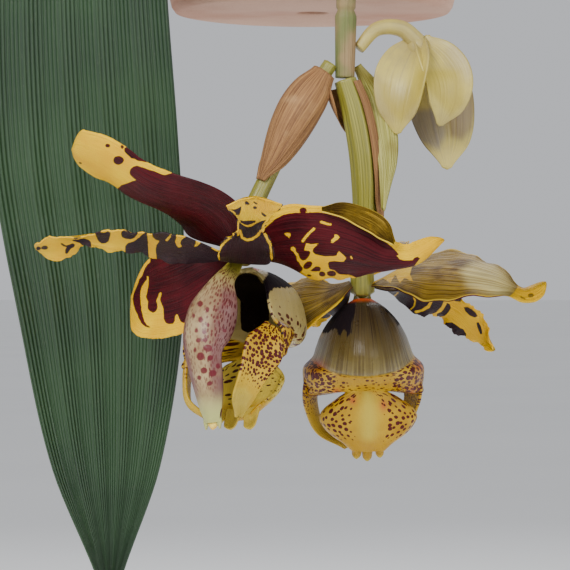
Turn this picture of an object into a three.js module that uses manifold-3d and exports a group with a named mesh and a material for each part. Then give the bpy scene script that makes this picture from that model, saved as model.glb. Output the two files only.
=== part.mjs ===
import * as THREE from 'three';
import { mergeVertices } from 'three/addons/utils/BufferGeometryUtils.js';
import Module from 'manifold-3d';

const wasm = await Module();
wasm.setup();

// A hanging clay pot with an orchid whose flower spike comes over the rim and hangs below the pot.
// Millimetres, +Z up. The origin is the top of the hook's inside, where it rests on a rail.

// Driving dimensions of the pot and its hanger
const hookInnerRadius = 11;
const hookWire = 3.2;
const collarTop = -34;
const collarHeight = 11;
const collarRadius = 5.5;
const hangerWire = 2.2;
const hangerAzimuths = [60, 180, 300];
const rimTop = -410;
const rimHeight = 20;
const rimRadius = 90;
const wallTopRadius = 84;
const potBottom = -505;
const potBottomRadius = 62;
const potWall = 5;
const drainHoleRadius = 7;
const roundSides = 32;
const mixLevel = -424;
const mixMound = 9;
const gap = 0.3;

// Driving dimensions of the plant
const bulbHeight = 52;
const bulbRadius = 15;
const lipLength = 72;
const tepalThickness = 1.1;
const leafThickness = 0.9;
const pleatCount = 5;
const pleatDepth = 1.3;

// Where the two flowers and the lower end of the spike lie
const flowerA = new THREE.Vector3(-29, -122, -614);
const flowerB = new THREE.Vector3(19.5, -88, -626);
const spikeEnd = new THREE.Vector3(12, -103, -542);

const plant = new THREE.Group();

function vec(x, y, z) {
  return new THREE.Vector3(x, y, z);
}

// A value read along a row of numbers with a smooth curve through them
function along(values, t) {
  const place = THREE.MathUtils.clamp(t, 0, 1) * (values.length - 1);
  const i = Math.min(Math.floor(place), values.length - 2);
  const f = place - i;
  const a = values[Math.max(i - 1, 0)];
  const b = values[i];
  const c = values[i + 1];
  const d = values[Math.min(i + 2, values.length - 1)];
  const slopeB = (c - a) / 2;
  const slopeC = (d - b) / 2;
  const curve = 2 * b - 2 * c + slopeB + slopeC;
  return ((curve * f + 3 * c - 3 * b - 2 * slopeB - slopeC) * f + slopeB) * f + b;
}

function geometryFrom(positions, triangles) {
  const geometry = new THREE.BufferGeometry();
  geometry.setAttribute('position', new THREE.Float32BufferAttribute(positions, 3));
  geometry.setIndex(triangles);
  return geometry;
}

// A closed blade with thickness about a middle surface point(u, v), u from 0 to 1, v from -1 to 1.
// Both faces are split into triangles alike.
function sheet({ point, thickness, steps, strips }) {
  const columns = strips + 1;
  const middle = [];
  for (let i = 0; i <= steps; i += 1) {
    for (let j = 0; j <= strips; j += 1) {
      middle.push(point(i / steps, (2 * j) / strips - 1));
    }
  }
  const at = (i, j) => middle[i * columns + j];
  const top = [];
  const bottom = [];
  for (let i = 0; i <= steps; i += 1) {
    for (let j = 0; j <= strips; j += 1) {
      const lengthwise = at(Math.min(i + 1, steps), j).clone().sub(at(Math.max(i - 1, 0), j));
      const crosswise = at(i, Math.min(j + 1, strips)).clone().sub(at(i, Math.max(j - 1, 0)));
      const normal = crosswise.cross(lengthwise).normalize();
      const half = thickness(i / steps, (2 * j) / strips - 1) / 2;
      top.push(...at(i, j).clone().addScaledVector(normal, half).toArray());
      bottom.push(...at(i, j).clone().addScaledVector(normal, -half).toArray());
    }
  }
  const under = columns * (steps + 1);
  const triangles = [];
  for (let i = 0; i < steps; i += 1) {
    for (let j = 0; j < strips; j += 1) {
      const a = i * columns + j;
      const b = a + 1;
      const c = a + columns;
      const d = c + 1;
      triangles.push(a, b, d, a, d, c);
      triangles.push(under + a, under + d, under + b, under + a, under + c, under + d);
    }
  }
  const rim = [];
  for (let j = 0; j < strips; j += 1) rim.push([j + 1, j]);
  for (let i = 0; i < steps; i += 1) rim.push([i * columns, (i + 1) * columns]);
  for (let j = 0; j < strips; j += 1) rim.push([steps * columns + j, steps * columns + j + 1]);
  for (let i = 0; i < steps; i += 1) {
    rim.push([(i + 1) * columns + strips, i * columns + strips]);
  }
  for (const [a, b] of rim) triangles.push(a, b, under + b, a, under + b, under + a);
  return geometryFrom([...top, ...bottom], triangles);
}

// A closed round body along a path, with radius(t, angle) and flat ends
function limb({ path, radius, steps, sides, upright = vec(0, 1, 0.01) }) {
  const positions = [];
  const triangles = [];
  for (let i = 0; i <= steps; i += 1) {
    const t = i / steps;
    const centre = path.getPointAt(t);
    const tangent = path.getTangentAt(t);
    const right = upright.clone().cross(tangent).normalize();
    const up = tangent.clone().cross(right);
    for (let j = 0; j < sides; j += 1) {
      const angle = (2 * Math.PI * j) / sides;
      const r = radius(t, angle);
      const p = centre.clone();
      p.addScaledVector(right, r * Math.cos(angle));
      p.addScaledVector(up, r * Math.sin(angle));
      positions.push(...p.toArray());
    }
  }
  const start = positions.length / 3;
  positions.push(...path.getPointAt(0).toArray());
  positions.push(...path.getPointAt(1).toArray());
  for (let j = 0; j < sides; j += 1) {
    const next = (j + 1) % sides;
    for (let i = 0; i < steps; i += 1) {
      const a = i * sides + j;
      const b = i * sides + next;
      triangles.push(a, b, b + sides, a, b + sides, a + sides);
    }
    triangles.push(start, next, j);
    triangles.push(start + 1, steps * sides + j, steps * sides + next);
  }
  return geometryFrom(positions, triangles);
}

function solidOf(geometry) {
  const bare = geometry.clone();
  bare.deleteAttribute('normal');
  bare.deleteAttribute('uv');
  const merged = mergeVertices(bare, 1e-4);
  return new wasm.Manifold(new wasm.Mesh({
    numProp: 3,
    vertProperties: new Float32Array(merged.attributes.position.array),
    triVerts: new Uint32Array(merged.index.array),
  }));
}

function geometryOf(solid) {
  const mesh = solid.getMesh();
  return geometryFrom(Array.from(mesh.vertProperties), Array.from(mesh.triVerts));
}

function joined(geometries) {
  return geometryOf(geometries.map(solidOf).reduce((a, b) => a.add(b)));
}

function addPiece(name, geometry, colour, roughness, metalness = 0) {
  const material = new THREE.MeshStandardMaterial({ color: colour, roughness, metalness });
  const mesh = new THREE.Mesh(geometry, material);
  mesh.name = name;
  plant.add(mesh);
  return mesh;
}

function curveThrough(points) {
  return new THREE.CatmullRomCurve3(points.map((p) => vec(...p)), false, 'centripetal');
}

// Clay pot: a plain tapered pan with a band at the rim and a drain hole
function makePot() {
  const bandBottom = rimTop - rimHeight;
  const outerAtBand = wallTopRadius - 2;
  const profile = [
    [0, potBottom],
    [potBottomRadius - 3, potBottom],
    [potBottomRadius, potBottom + 3],
    [outerAtBand, bandBottom],
    [rimRadius - 1, bandBottom],
    [rimRadius, bandBottom + 1.5],
    [rimRadius, rimTop - 2.5],
    [rimRadius - 2.5, rimTop],
    [rimRadius - 6, rimTop],
    [rimRadius - 8, rimTop - 2.5],
    [outerAtBand - potWall, bandBottom],
    [potBottomRadius - potWall, potBottom + potWall],
    [0, potBottom + potWall],
  ];
  const lathe = new THREE.LatheGeometry(profile.map(([r, z]) => new THREE.Vector2(r, z)), roundSides);
  lathe.rotateX(Math.PI / 2);
  const drain = new THREE.CylinderGeometry(drainHoleRadius, drainHoleRadius, 4 * potWall, 16);
  drain.rotateX(Math.PI / 2);
  drain.translate(0, 0, potBottom + potWall / 2);
  addPiece('pot', geometryOf(solidOf(lathe).subtract(solidOf(drain))), 0xb0643f, 0.85);
}

// Hanger: a hook whose shaft ends in a collar, and three wires from the collar to the pot's band
function makeHanger() {
  const r = hookInnerRadius + hookWire / 2;
  const centreZ = -hookInnerRadius;
  const bend = [];
  for (let degrees = -35; degrees <= 225; degrees += 20) {
    const angle = THREE.MathUtils.degToRad(degrees);
    bend.push([r * Math.cos(angle), 0, centreZ + r * Math.sin(angle)]);
  }
  const shaft = [[-3.5, 0, centreZ - r - 1.5], [0, 0, collarTop + 3], [0, 0, collarTop - 4]];
  const path = curveThrough([...bend, ...shaft]);
  const hook = limb({ path, radius: () => hookWire / 2, steps: 34, sides: 8 });
  const collar = new THREE.CylinderGeometry(collarRadius, collarRadius, collarHeight, 20);
  collar.rotateX(Math.PI / 2);
  collar.translate(0, 0, collarTop - collarHeight / 2);
  addPiece('hanger_hook', joined([hook, collar]), 0x9a9da0, 0.35, 1);

  const bandBottom = rimTop - rimHeight;
  hangerAzimuths.forEach((azimuth, index) => {
    const wireRadius = hangerWire / 2;
    const outside = rimRadius + wireRadius + gap;
    const under = bandBottom - wireRadius - gap;
    const profile = [
      [2.6, collarTop - collarHeight - gap],
      [3.6, collarTop - collarHeight - 9],
      [outside - 0.6, rimTop + 6],
      [outside, rimTop - 2],
      [outside, bandBottom + 2],
      [outside - 0.9, under - 0.2],
      [rimRadius - 2, under - 0.4],
      [rimRadius - 5.5, under - 0.4],
    ];
    const angle = THREE.MathUtils.degToRad(azimuth);
    const outwards = vec(Math.cos(angle), Math.sin(angle), 0);
    const points = profile.map(([radius, z]) => outwards.clone().multiplyScalar(radius).setZ(z));
    addPiece(`hanger_wire_${index + 1}`, bentWire(points, wireRadius), 0x9a9da0, 0.35, 1);
  });
}

// A thin wire with a mitred ring of corners at each bend of its route
function bentWire(points, radius) {
  const sides = 8;
  const positions = [];
  const triangles = [];
  const azimuth = Math.atan2(points[points.length - 1].y, points[points.length - 1].x);
  const sideways = vec(-Math.sin(azimuth), Math.cos(azimuth), 0);
  points.forEach((p, i) => {
    const before = points[Math.max(i - 1, 0)];
    const after = points[Math.min(i + 1, points.length - 1)];
    const tangent = after.clone().sub(before).normalize();
    const outward = tangent.clone().cross(sideways).normalize();
    for (let j = 0; j < sides; j += 1) {
      const angle = (2 * Math.PI * j) / sides;
      const q = p.clone().addScaledVector(sideways, radius * Math.cos(angle));
      q.addScaledVector(outward, radius * Math.sin(angle));
      positions.push(...q.toArray());
    }
  });
  const last = (points.length - 1) * sides;
  const start = positions.length / 3;
  positions.push(...points[0].toArray(), ...points[points.length - 1].toArray());
  for (let j = 0; j < sides; j += 1) {
    const next = (j + 1) % sides;
    for (let i = 0; i < points.length - 1; i += 1) {
      const a = i * sides + j;
      const b = i * sides + next;
      triangles.push(a, b, b + sides, a, b + sides, a + sides);
    }
    triangles.push(start, next, j);
    triangles.push(start + 1, last + j, last + next);
  }
  return geometryFrom(positions, triangles);
}

// Pseudobulbs: ribbed ovoids that stand a little sunk in the mix, each with a leaf on its top
const bulbPlaces = [[18, -26], [-17, -25], [30, 22], [1, 8], [-34, 8]];
const bulbBottom = mixLevel + mixMound - 10;

function bulbGeometry([x, y], grow) {
  const profile = [0.45, 0.82, 0.98, 1, 0.93, 0.78, 0.58, 0.4, 0.24];
  const path = curveThrough([
    [x, y, bulbBottom - grow],
    [x, y, bulbBottom + bulbHeight / 2],
    [x, y, bulbBottom + bulbHeight + grow],
  ]);
  const radius = (t, angle) => {
    const rib = 1 + 0.05 * Math.cos(8 * angle);
    return bulbRadius * along(profile, t) * rib + grow;
  };
  return limb({ path, radius, steps: 8, sides: 16 });
}

// A blade along a spine: across(u) gives its width direction, lift(u, v) its height off the spine
function blade({ spine, across, halfWidths, lift, thickness, steps, strips, end = () => 0 }) {
  const curve = curveThrough(spine);
  const point = (u, v) => {
    const tangent = curve.getTangentAt(u);
    const side = across(u, tangent);
    side.addScaledVector(tangent, -side.dot(tangent)).normalize();
    const face = side.clone().cross(tangent);
    const p = curve.getPointAt(u);
    p.addScaledVector(side, v * along(halfWidths, u));
    p.addScaledVector(face, lift(u, v));
    return p.addScaledVector(tangent, end(u, v));
  };
  return sheet({ point, thickness, steps, strips });
}

// Leaves: a stalk that widens to a pleated blade
const leaves = [
  {
    spine: [[18, -26, 0], [24, -27, 46], [44, -30, 96], [76, -36, 126], [112, -42, 121], [144, -48, 86],
      [166, -52, 36], [178, -55, -14]],
    azimuths: [-15, -15],
  },
  {
    spine: [[-17, -25, 0], [-19, -27, 40], [-29, -36, 78], [-48, -52, 96], [-68, -67, 84], [-84, -78, 38],
      [-94, -82, -30], [-98, -74, -110], [-96, -56, -190], [-90, -42, -260], [-88, -38, -325],
      [-86, -41, -392]],
    azimuths: [222, 270],
    halfWidths: [2.6, 2.4, 3.4, 14, 26, 34, 38, 39, 34.5, 23, 1.2],
  },
  {
    spine: [[30, 22, 0], [36, 25, 56], [52, 32, 121], [80, 44, 166], [114, 58, 181], [150, 72, 166],
      [180, 82, 126]],
    azimuths: [20, 20],
  },
  {
    spine: [[1, 8, 0], [-1, 16, 61], [-8, 34, 131], [-18, 62, 181], [-28, 96, 201], [-38, 130, 191],
      [-46, 158, 156]],
    azimuths: [107, 107],
  },
  {
    spine: [[-34, 8, 0], [-38, 14, 51], [-52, 26, 103], [-80, 44, 136], [-112, 62, 131], [-140, 76, 96],
      [-158, 84, 46]],
    azimuths: [152, 152],
  },
];

const leafHalfWidths = [2.6, 2.4, 3.4, 12, 23, 31, 34, 32, 25, 13, 1.2];

function leafGeometry({ spine, azimuths, halfWidths = leafHalfWidths }) {
  const seat = bulbBottom + bulbHeight + 2 * gap;
  const raised = spine.map(([x, y, z]) => [x, y, seat + z]);
  const stalkEnd = 0.16;
  const spread = (u) => THREE.MathUtils.smoothstep(u, stalkEnd, 0.4);
  const pleats = 2 * pleatCount;
  return blade({
    spine: raised,
    across: (u) => {
      const azimuth = THREE.MathUtils.degToRad(THREE.MathUtils.lerp(...azimuths, spread(u)));
      return vec(Math.sin(azimuth), -Math.cos(azimuth), 0);
    },
    halfWidths,
    lift: (u, v) => {
      const fold = (Math.round((v + 1) * pleatCount) % 2 === 0 ? 1 : -1) * pleatDepth;
      const taper = Math.min(1, (1 - u) * 8);
      return spread(u) * (fold * taper + 5 * v * v) + (1 - spread(u)) * 1.6 * v * v;
    },
    thickness: (u) => THREE.MathUtils.lerp(3.4, leafThickness, THREE.MathUtils.smoothstep(u, 0.1, 0.3)),
    steps: 14,
    strips: pleats,
  });
}

// Potting mix: a mound of coarse bark, uneven on top, with plain holes for the pseudobulbs
function makeMix() {
  const inner = (z) => {
    const share = (z - potBottom) / (rimTop - rimHeight - potBottom);
    return THREE.MathUtils.lerp(potBottomRadius, wallTopRadius - 2, Math.min(share, 1)) - potWall - 0.8;
  };
  const floor = potBottom + potWall + gap;
  const edge = inner(mixLevel);
  const profile = [new THREE.Vector2(0, floor), new THREE.Vector2(inner(floor) - 0.6, floor)];
  const rings = 5;
  for (let i = 0; i <= rings; i += 1) {
    const r = edge * (1 - i / rings);
    profile.push(new THREE.Vector2(r, mixLevel + mixMound * (1 - (r / edge) ** 2)));
  }
  const lathe = new THREE.LatheGeometry(profile, roundSides);
  lathe.rotateX(Math.PI / 2);
  const corners = lathe.attributes.position;
  for (let i = 0; i < corners.count; i += 1) {
    const x = corners.getX(i);
    const y = corners.getY(i);
    const z = corners.getZ(i);
    const inside = z > mixLevel + 0.5 ? 1 : 0;
    const coarse = 1.6 * Math.sin(x * 0.61 + 1.3) * Math.cos(y * 0.53);
    const bump = coarse + 0.9 * Math.sin(x * 0.27 - y * 0.71);
    corners.setZ(i, z + inside * bump);
  }
  const holes = bulbPlaces.map((spot) => solidOf(bulbGeometry(spot, gap)));
  const mix = holes.reduce((solid, hole) => solid.subtract(hole), solidOf(lathe));
  addPiece('potting_mix', geometryOf(mix), 0x5a4030, 0.95);
}

// The spike: a round stem with overlapping papery sheaths, from a pseudobulb over the pot's rim
function makeSpike() {
  const path = curveThrough([
    [18, -41.6, -403],
    [17.6, -58, -400.5],
    [16.6, -80, -400],
    [15.6, -93.5, -404],
    [14.6, -100.5, -419],
    [13.6, -102.5, -450],
    [12.8, -103, -490],
    spikeEnd.toArray(),
  ]);
  const sheaths = 7;
  const radius = (t) => {
    const f = (t * sheaths) % 1;
    return 3.1 + 1.3 * Math.min(1, f * 4) * (1 - 0.45 * f);
  };
  addPiece('flower_spike', limb({ path, radius, steps: 28, sides: 8 }), 0x8f8a4a, 0.6);
}

// A flower's own frame: lateral from side to side of the lip, outward from column to lip,
// axis from the stalk to the tips
function frameOf(axis, outward) {
  const z = vec(...axis).normalize();
  const y = vec(...outward);
  y.addScaledVector(z, -y.dot(z)).normalize();
  const x = y.clone().cross(z);
  return new THREE.Matrix4().makeBasis(x, y, z);
}

const flowers = {
  a: {
    centre: flowerA,
    frame: frameOf([-0.12, -0.38, -0.92], [0.54, 0.76, -0.36]),
    stalk: [[6.25, -104.3, -536.5], [-6, -107, -555], [-16, -111, -576], [-24, -114.6, -593]],
    stalkRadii: [2.8, 3, 3.2, 3.3, 3.6, 4.4],
    lipSize: 0.95,
  },
  b: {
    centre: flowerB,
    frame: frameOf([0.02, 0.36, -0.93], [0, -0.93, -0.36]),
    stalk: [[12.1, -103, -542.9], [15, -103.5, -556], [17.6, -103, -574], [18.4, -99, -597]],
    stalkRadii: [4.2, 5, 5.1, 4.8, 4.4, 4.7],
    lipSize: 1,
  },
};

const seatRadius = 5.4;

// Sepals and petals. Angle is where each is seated round the axis, from the lip's side; the spine's
// points are from the flower's centre; faces are the directions that its inner face looks in
const tepals = {
  a: [
    {
      name: 'dorsal_sepal', angle: 180, seat: -2.6,
      spine: [[-15, -8, 16.5], [-36, -12, 26], [-51, -14, 34.5], [-67.5, -12, 42.4]],
      face: [-0.45, -0.46, -0.76], halfWidths: [5, 19, 20, 16, 14, 13, 8.5], cup: -3, wave: [1, 1.5],
    },
    {
      name: 'lateral_sepal_left', angle: 60, seat: -2.6,
      spine: [[-22, 19.5, -9], [-34, 38, -14], [-42, 54, -16]],
      face: [-0.6, -0.75, -0.2], halfWidths: [3.4, 11.5, 17.5, 20, 20, 17, 9], cup: 3, wave: [1, 1.5],
    },
    {
      name: 'lateral_sepal_right', angle: -60, seat: -2.6,
      spine: [[22, -14, 1.6], [40, -22, 0], [56, -25, -3.4], [67, -24, -1.7], [78, -20, 6.5]],
      face: [0, -0.76, -0.65], halfWidths: [4.5, 16, 21, 18.5, 10, 4.6, 1.2], cup: -5, wave: [2, 1.5],
    },
    {
      name: 'petal_left', angle: 120, seat: 0.4,
      spine: [[-27, 4, 5], [-49, 12, 7.4], [-67, 19, 6], [-82, 26, 3.2]],
      face: [-0.1, -0.5, -0.86], halfWidths: [3, 9.5, 11.5, 10.5, 8, 7, 3], cup: 1.5, wave: [3, 1.8],
    },
    {
      name: 'petal_front', angle: -120, seat: 0.4,
      spine: [[2, -22, 5], [3.2, -44, 9], [4, -60, 15], [4, -70, 21]],
      face: [0, -0.55, -0.8], halfWidths: [2.6, 9.8, 8.4, 6, 5.2, 8, 7], cup: 1.5, wave: [3, 2.6],
    },
  ],
  b: [
    {
      name: 'dorsal_sepal', angle: 180, seat: -2.6,
      spine: [[0, 22, 10], [1, 42, 16], [2, 60, 17], [2, 76, 14]],
      face: [0, 0.2, -0.97], halfWidths: [3.4, 13, 18, 20, 18, 13, 5], cup: -3, wave: [1, 1.5],
    },
    {
      name: 'lateral_sepal_right', angle: 60, seat: -2.6,
      spine: [[20, -12, 6.4], [36, -20, 6.4], [52, -25, 3.2], [64, -26, -0.6], [73, -26, 1.2]],
      face: [0.1, 0.45, -0.88], halfWidths: [3.4, 8.5, 13, 16.5, 19, 20, 20, 17, 13, 8, 3.6, 4.2, 2], cup: 2,
      wave: [2, 1.5],
    },
    {
      name: 'lateral_sepal_left', angle: -60, seat: -2.6,
      spine: [[-14, -3, -3.5], [-29, 5, -8], [-45, 19, -11], [-60, 37, -13]],
      face: [0.1, 0.75, -0.65], halfWidths: [3.4, 12, 18, 19, 16, 11, 4], cup: 2, wave: [2, 1.5],
    },
    {
      name: 'petal_right', angle: 120, seat: 0.4,
      spine: [[18, 7, -2.4], [30, 12, -5], [40, 16, -9], [48, 18, -16], [56, 18, -26]],
      face: [0.2, -0.6, -0.75], halfWidths: [2.6, 6, 7.5, 8.5, 9, 7, 1.2], cup: 1.5, wave: [3, 2],
    },
    {
      name: 'petal_left', angle: -120, seat: 0.4,
      spine: [[-12, 12, -4], [-20, 26, -8], [-26, 42, -12], [-30, 56, -18]],
      face: [-0.3, -0.5, -0.8], halfWidths: [2.6, 7, 9, 9, 7, 5, 1.6], cup: 1.5, wave: [3, 2.4],
    },
  ],
};

function makeTepal(flower, tepal, name) {
  const angle = THREE.MathUtils.degToRad(tepal.angle);
  const outwards = vec(Math.sin(angle), Math.cos(angle), 0);
  const seat = outwards.clone().multiplyScalar(seatRadius).setZ(tepal.seat).applyMatrix4(flower.frame);
  const axis = vec(0, 0, 1).transformDirection(flower.frame);
  const face = vec(...tepal.face).normalize();
  const [waves, waveHeight] = tepal.wave;
  const geometry = blade({
    spine: [seat.toArray(), ...tepal.spine],
    across: (u, tangent) => {
      const turn = THREE.MathUtils.smoothstep(u, 0, 0.35);
      return tangent.clone().cross(axis.clone().lerp(face, turn));
    },
    halfWidths: tepal.halfWidths,
    lift: (u, v) => {
      const wave = Math.sin(2 * Math.PI * waves * u + (v > 0 ? 0.6 : 2.4));
      const grown = THREE.MathUtils.smoothstep(u, 0.05, 0.4);
      return grown * (tepal.cup * v * v + waveHeight * wave * Math.abs(v) ** 3);
    },
    thickness: (u, v) => tepalThickness * (1.25 - 0.35 * v * v),
    steps: 11,
    strips: 6,
  });
  const mesh = addPiece(name, geometry, 0x5a1420, 0.45);
  mesh.position.copy(flower.centre);
}

// The lip: a sac, a broad band with two horns, and a lobed plate with three teeth, all in one piece.
// Its middle line and the line between its edges both lie in the plane of outward (y) and axis (z).
const lipTableLength = 72;
const lipKeel = [[5, 3.8], [13, 4], [25, 9], [33, 19], [32, 27.5], [23.5, 32.5], [18.5, 36.5], [16, 40.5],
  [16.5, 45], [16.5, 51], [15, 58], [12.5, 65], [11, 70]];
const lipChord = [[3.8, 4.6], [5, 8], [5.5, 13], [6, 20], [6, 26], [6, 30.5], [7.5, 34.5], [13.5, 40],
  [13, 45], [12, 51], [11, 57.5], [10, 64.5], [10, 69.5]];
const lipHalfWidths = [3.6, 9.3, 13.5, 16.8, 18.8, 23.5, 22.5, 8.2, 13.2, 19, 18, 10, 4.8];

function pointAlong(rows, u) {
  return vec(0, along(rows.map((row) => row[0]), u), along(rows.map((row) => row[1]), u));
}

function lipGeometry(size) {
  const unit = (lipLength * size) / lipTableLength;
  const point = (u, v) => {
    const keel = pointAlong(lipKeel, u);
    const chord = pointAlong(lipChord, u);
    const bow = Math.cos((Math.PI * v) / 2);
    const p = chord.clone().lerp(keel, bow);
    p.x = along(lipHalfWidths, u) * Math.sin((Math.PI * v) / 2);
    const tooth = u > 0.97 ? 2.4 * Math.abs(Math.cos(1.5 * Math.PI * v)) : 0;
    p.z += tooth;
    return p.multiplyScalar(unit);
  };
  const main = sheet({ point, thickness: (u, v) => 2.2 - 0.8 * v * v, steps: 24, strips: 8 });
  const horns = [-1, 1].map((hand) => blade({
    spine: [[20.5, 8, 31], [21.8, 4.5, 42], [21.2, 1, 53], [17.5, 0.5, 63], [7, 3, 70]]
      .map(([x, y, z]) => [hand * x * unit, y * unit, z * unit]),
    across: () => vec(hand * 0.45, 0.9, 0),
    halfWidths: [6.5, 6.5, 4.6, 3.4, 1].map((w) => w * size),
    lift: () => 0,
    thickness: (u) => 2.4 - 1.2 * u,
    steps: 8,
    strips: 2,
  }));
  return joined([main, ...horns]);
}

// The column: a thick rib that arches away from the lip, with a thin wing on each side
const columnRib = [[-3.2, 4.2], [-9, 11.5], [-16, 23], [-19, 36], [-17.5, 48], [-12, 59], [-7, 66],
  [-4.5, 71]];
const columnEdge = [[-3, 4.4], [-7, 12.5], [-11, 24], [-12.5, 36], [-11.5, 47.5], [-8, 58], [-5, 65.5],
  [-3.5, 70.5]];
const columnHalfWidths = [3, 5.5, 10.5, 12, 10.5, 7.5, 4.6, 3];

function columnGeometry() {
  const unit = lipLength / lipTableLength;
  const point = (u, v) => {
    const rib = pointAlong(columnRib, u);
    const edge = pointAlong(columnEdge, u);
    const p = edge.clone().lerp(rib, Math.cos((Math.PI * v) / 2));
    p.x = along(columnHalfWidths, u) * Math.sin((Math.PI * v) / 2);
    return p.multiplyScalar(unit);
  };
  const thickness = (u, v) => 1 + (4 - 2 * u) * Math.exp(-((v / 0.4) ** 2));
  return sheet({ point, thickness, steps: 14, strips: 8 });
}

// The stalk of a flower with its ribbed ovary
function stalkPath(flower) {
  const axis = vec(0, 0, 1).transformDirection(flower.frame);
  const before = flower.centre.clone().addScaledVector(axis, -13);
  const end = flower.centre.clone().addScaledVector(axis, 2);
  return curveThrough([...flower.stalk, before.toArray(), end.toArray()]);
}

function makeFlower(key) {
  const flower = flowers[key];
  tepals[key].forEach((tepal) => makeTepal(flower, tepal, `flower_${key}_${tepal.name}`));
  const turned = new THREE.Group();
  turned.position.copy(flower.centre);
  turned.quaternion.setFromRotationMatrix(flower.frame);
  plant.add(turned);
  const lip = addPiece(`flower_${key}_lip`, lipGeometry(flower.lipSize), 0xd8c060, 0.35);
  const column = addPiece(`flower_${key}_column`, columnGeometry(), 0xd9c9a8, 0.4);
  turned.add(lip, column);
  const ribbed = (t, angle) => along(flower.stalkRadii, t) * (1 + 0.05 * Math.cos(6 * angle));
  const ovary = limb({ path: stalkPath(flower), radius: ribbed, steps: 11, sides: 12 });
  addPiece(`flower_${key}_ovary`, ovary, 0x9cab52, 0.5);
}

// A papery bract wrapped part of the way round a stalk, open toward one side
function wrapGeometry({ flower, from, to, radii, reach, open }) {
  const path = stalkPath(flower);
  const point = (u, v) => {
    const t = THREE.MathUtils.lerp(from, to, u);
    const tangent = path.getTangentAt(t);
    const back = vec(...open).negate();
    back.addScaledVector(tangent, -back.dot(tangent)).normalize();
    const side = back.clone().cross(tangent);
    const angle = v * along(reach, u);
    const p = path.getPointAt(t);
    p.addScaledVector(back, along(radii, u) * Math.cos(angle));
    return p.addScaledVector(side, along(radii, u) * Math.sin(angle));
  };
  return sheet({ point, thickness: () => 0.7, steps: 10, strips: 8 });
}

function makeBracts() {
  addPiece('bract_brown_a', wrapGeometry({
    flower: flowers.a, from: 0.05, to: 0.62, open: [0.5, 0.8, 0],
    radii: [4.6, 7.6, 8.6, 8.2, 7, 5.4, 4.2], reach: [1.9, 2.1, 2.1, 2, 1.8, 1.4, 0.5],
  }), 0x9a6a48, 0.8);
  addPiece('bract_brown_b', wrapGeometry({
    flower: flowers.b, from: 0.1, to: 0.66, open: [0.1, -1, 0],
    radii: [6.4, 6.9, 7, 6.9, 6.6, 6.2, 5.9], reach: [1.3, 1.5, 1.5, 1.4, 1.3, 1, 0.3],
  }), 0x9a6a48, 0.8);
  addPiece('bract_green', blade({
    spine: [[17.6, -99.4, -536.5], [25, -96.5, -552], [28.6, -97, -568], [28.8, -99, -582],
      [27.6, -101, -596]],
    across: () => vec(1, -0.5, 0),
    halfWidths: [1.6, 3.8, 5, 4.4, 2.8, 0.8],
    lift: (u, v) => -1.6 * v * v,
    thickness: () => 0.9,
    steps: 8,
    strips: 4,
  }), 0xb9b860, 0.6);
}

// A half-open bud on a short stalk: three broad sepals that still hang together, in one piece
function makeBud() {
  const stalk = limb({
    path: curveThrough([[17.6, -101, -530], [25, -98.5, -522], [35, -95, -521.5], [42, -93, -527]]),
    radius: (t) => 2.4 + 1.4 * t,
    steps: 8,
    sides: 8,
  });
  const lobes = [
    { tip: [32, -102, -564.6], bulge: [-3.5, -5.5, 0], side: [1, -0.35, 0], half: 8.6 },
    { tip: [49.5, -99, -561], bulge: [3, -5, 0], side: [1, 0.3, 0], half: 8.6 },
    { tip: [54, -87, -578], bulge: [4, 6, 0], side: [-1, 0, 0], half: 13.5 },
  ].map(({ tip, bulge, side, half }) => {
    const base = vec(42, -93, -526);
    const end = vec(...tip);
    const points = [0, 0.25, 0.5, 0.75, 1].map((t) => {
      const p = base.clone().lerp(end, t);
      return p.addScaledVector(vec(...bulge), Math.sin(Math.PI * t)).toArray();
    });
    return blade({
      spine: points,
      across: () => vec(...side),
      halfWidths: [0.35, 0.8, 1, 0.95, 0.7, 0.12].map((w) => w * half),
      lift: (u, v) => -4 * v * v * Math.sin(Math.PI * Math.min(1, u + 0.15)),
      thickness: () => 1.2,
      steps: 8,
      strips: 4,
    });
  });
  const heart = new THREE.SphereGeometry(5, 10, 6);
  heart.translate(42, -93, -529);
  addPiece('bud', joined([stalk, heart, ...lobes]), 0xc9c27a, 0.5);
}

makePot();
makeHanger();
makeMix();
bulbPlaces.forEach((place, i) => addPiece(`pseudobulb_${i + 1}`, bulbGeometry(place, 0), 0x6f8040, 0.5));
leaves.forEach((leaf, i) => addPiece(`leaf_${i + 1}`, leafGeometry(leaf), 0x35552e, 0.5));
makeSpike();
makeFlower('a');
makeFlower('b');
makeBracts();
makeBud();

export default plant;
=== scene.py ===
import math
import random

import bpy
import numpy as np
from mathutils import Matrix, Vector, noise


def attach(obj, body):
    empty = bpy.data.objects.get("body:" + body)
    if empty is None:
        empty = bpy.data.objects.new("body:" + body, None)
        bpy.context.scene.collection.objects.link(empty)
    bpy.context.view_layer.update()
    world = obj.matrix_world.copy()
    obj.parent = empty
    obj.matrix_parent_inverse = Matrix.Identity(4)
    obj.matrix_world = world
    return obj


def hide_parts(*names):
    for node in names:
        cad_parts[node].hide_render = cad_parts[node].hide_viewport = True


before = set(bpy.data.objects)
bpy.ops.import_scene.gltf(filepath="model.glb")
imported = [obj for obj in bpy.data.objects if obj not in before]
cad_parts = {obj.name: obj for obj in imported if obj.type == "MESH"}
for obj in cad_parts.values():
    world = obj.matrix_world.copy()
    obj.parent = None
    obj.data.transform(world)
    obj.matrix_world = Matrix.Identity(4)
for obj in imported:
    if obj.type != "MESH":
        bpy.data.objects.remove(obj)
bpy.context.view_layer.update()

# The camera looks level at the two flowers from a metre away. The photograph is 570 pixels wide and
# one of its pixels is 0.4 mm at the flowers' depth.
picture_width = 570
pixel = 0.0004
eye = Vector((-0.012, -1.105, -0.625))
flower_depth = 1.0
bpy.ops.object.camera_add(location=eye, rotation=(math.radians(90), 0, 0))
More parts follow.
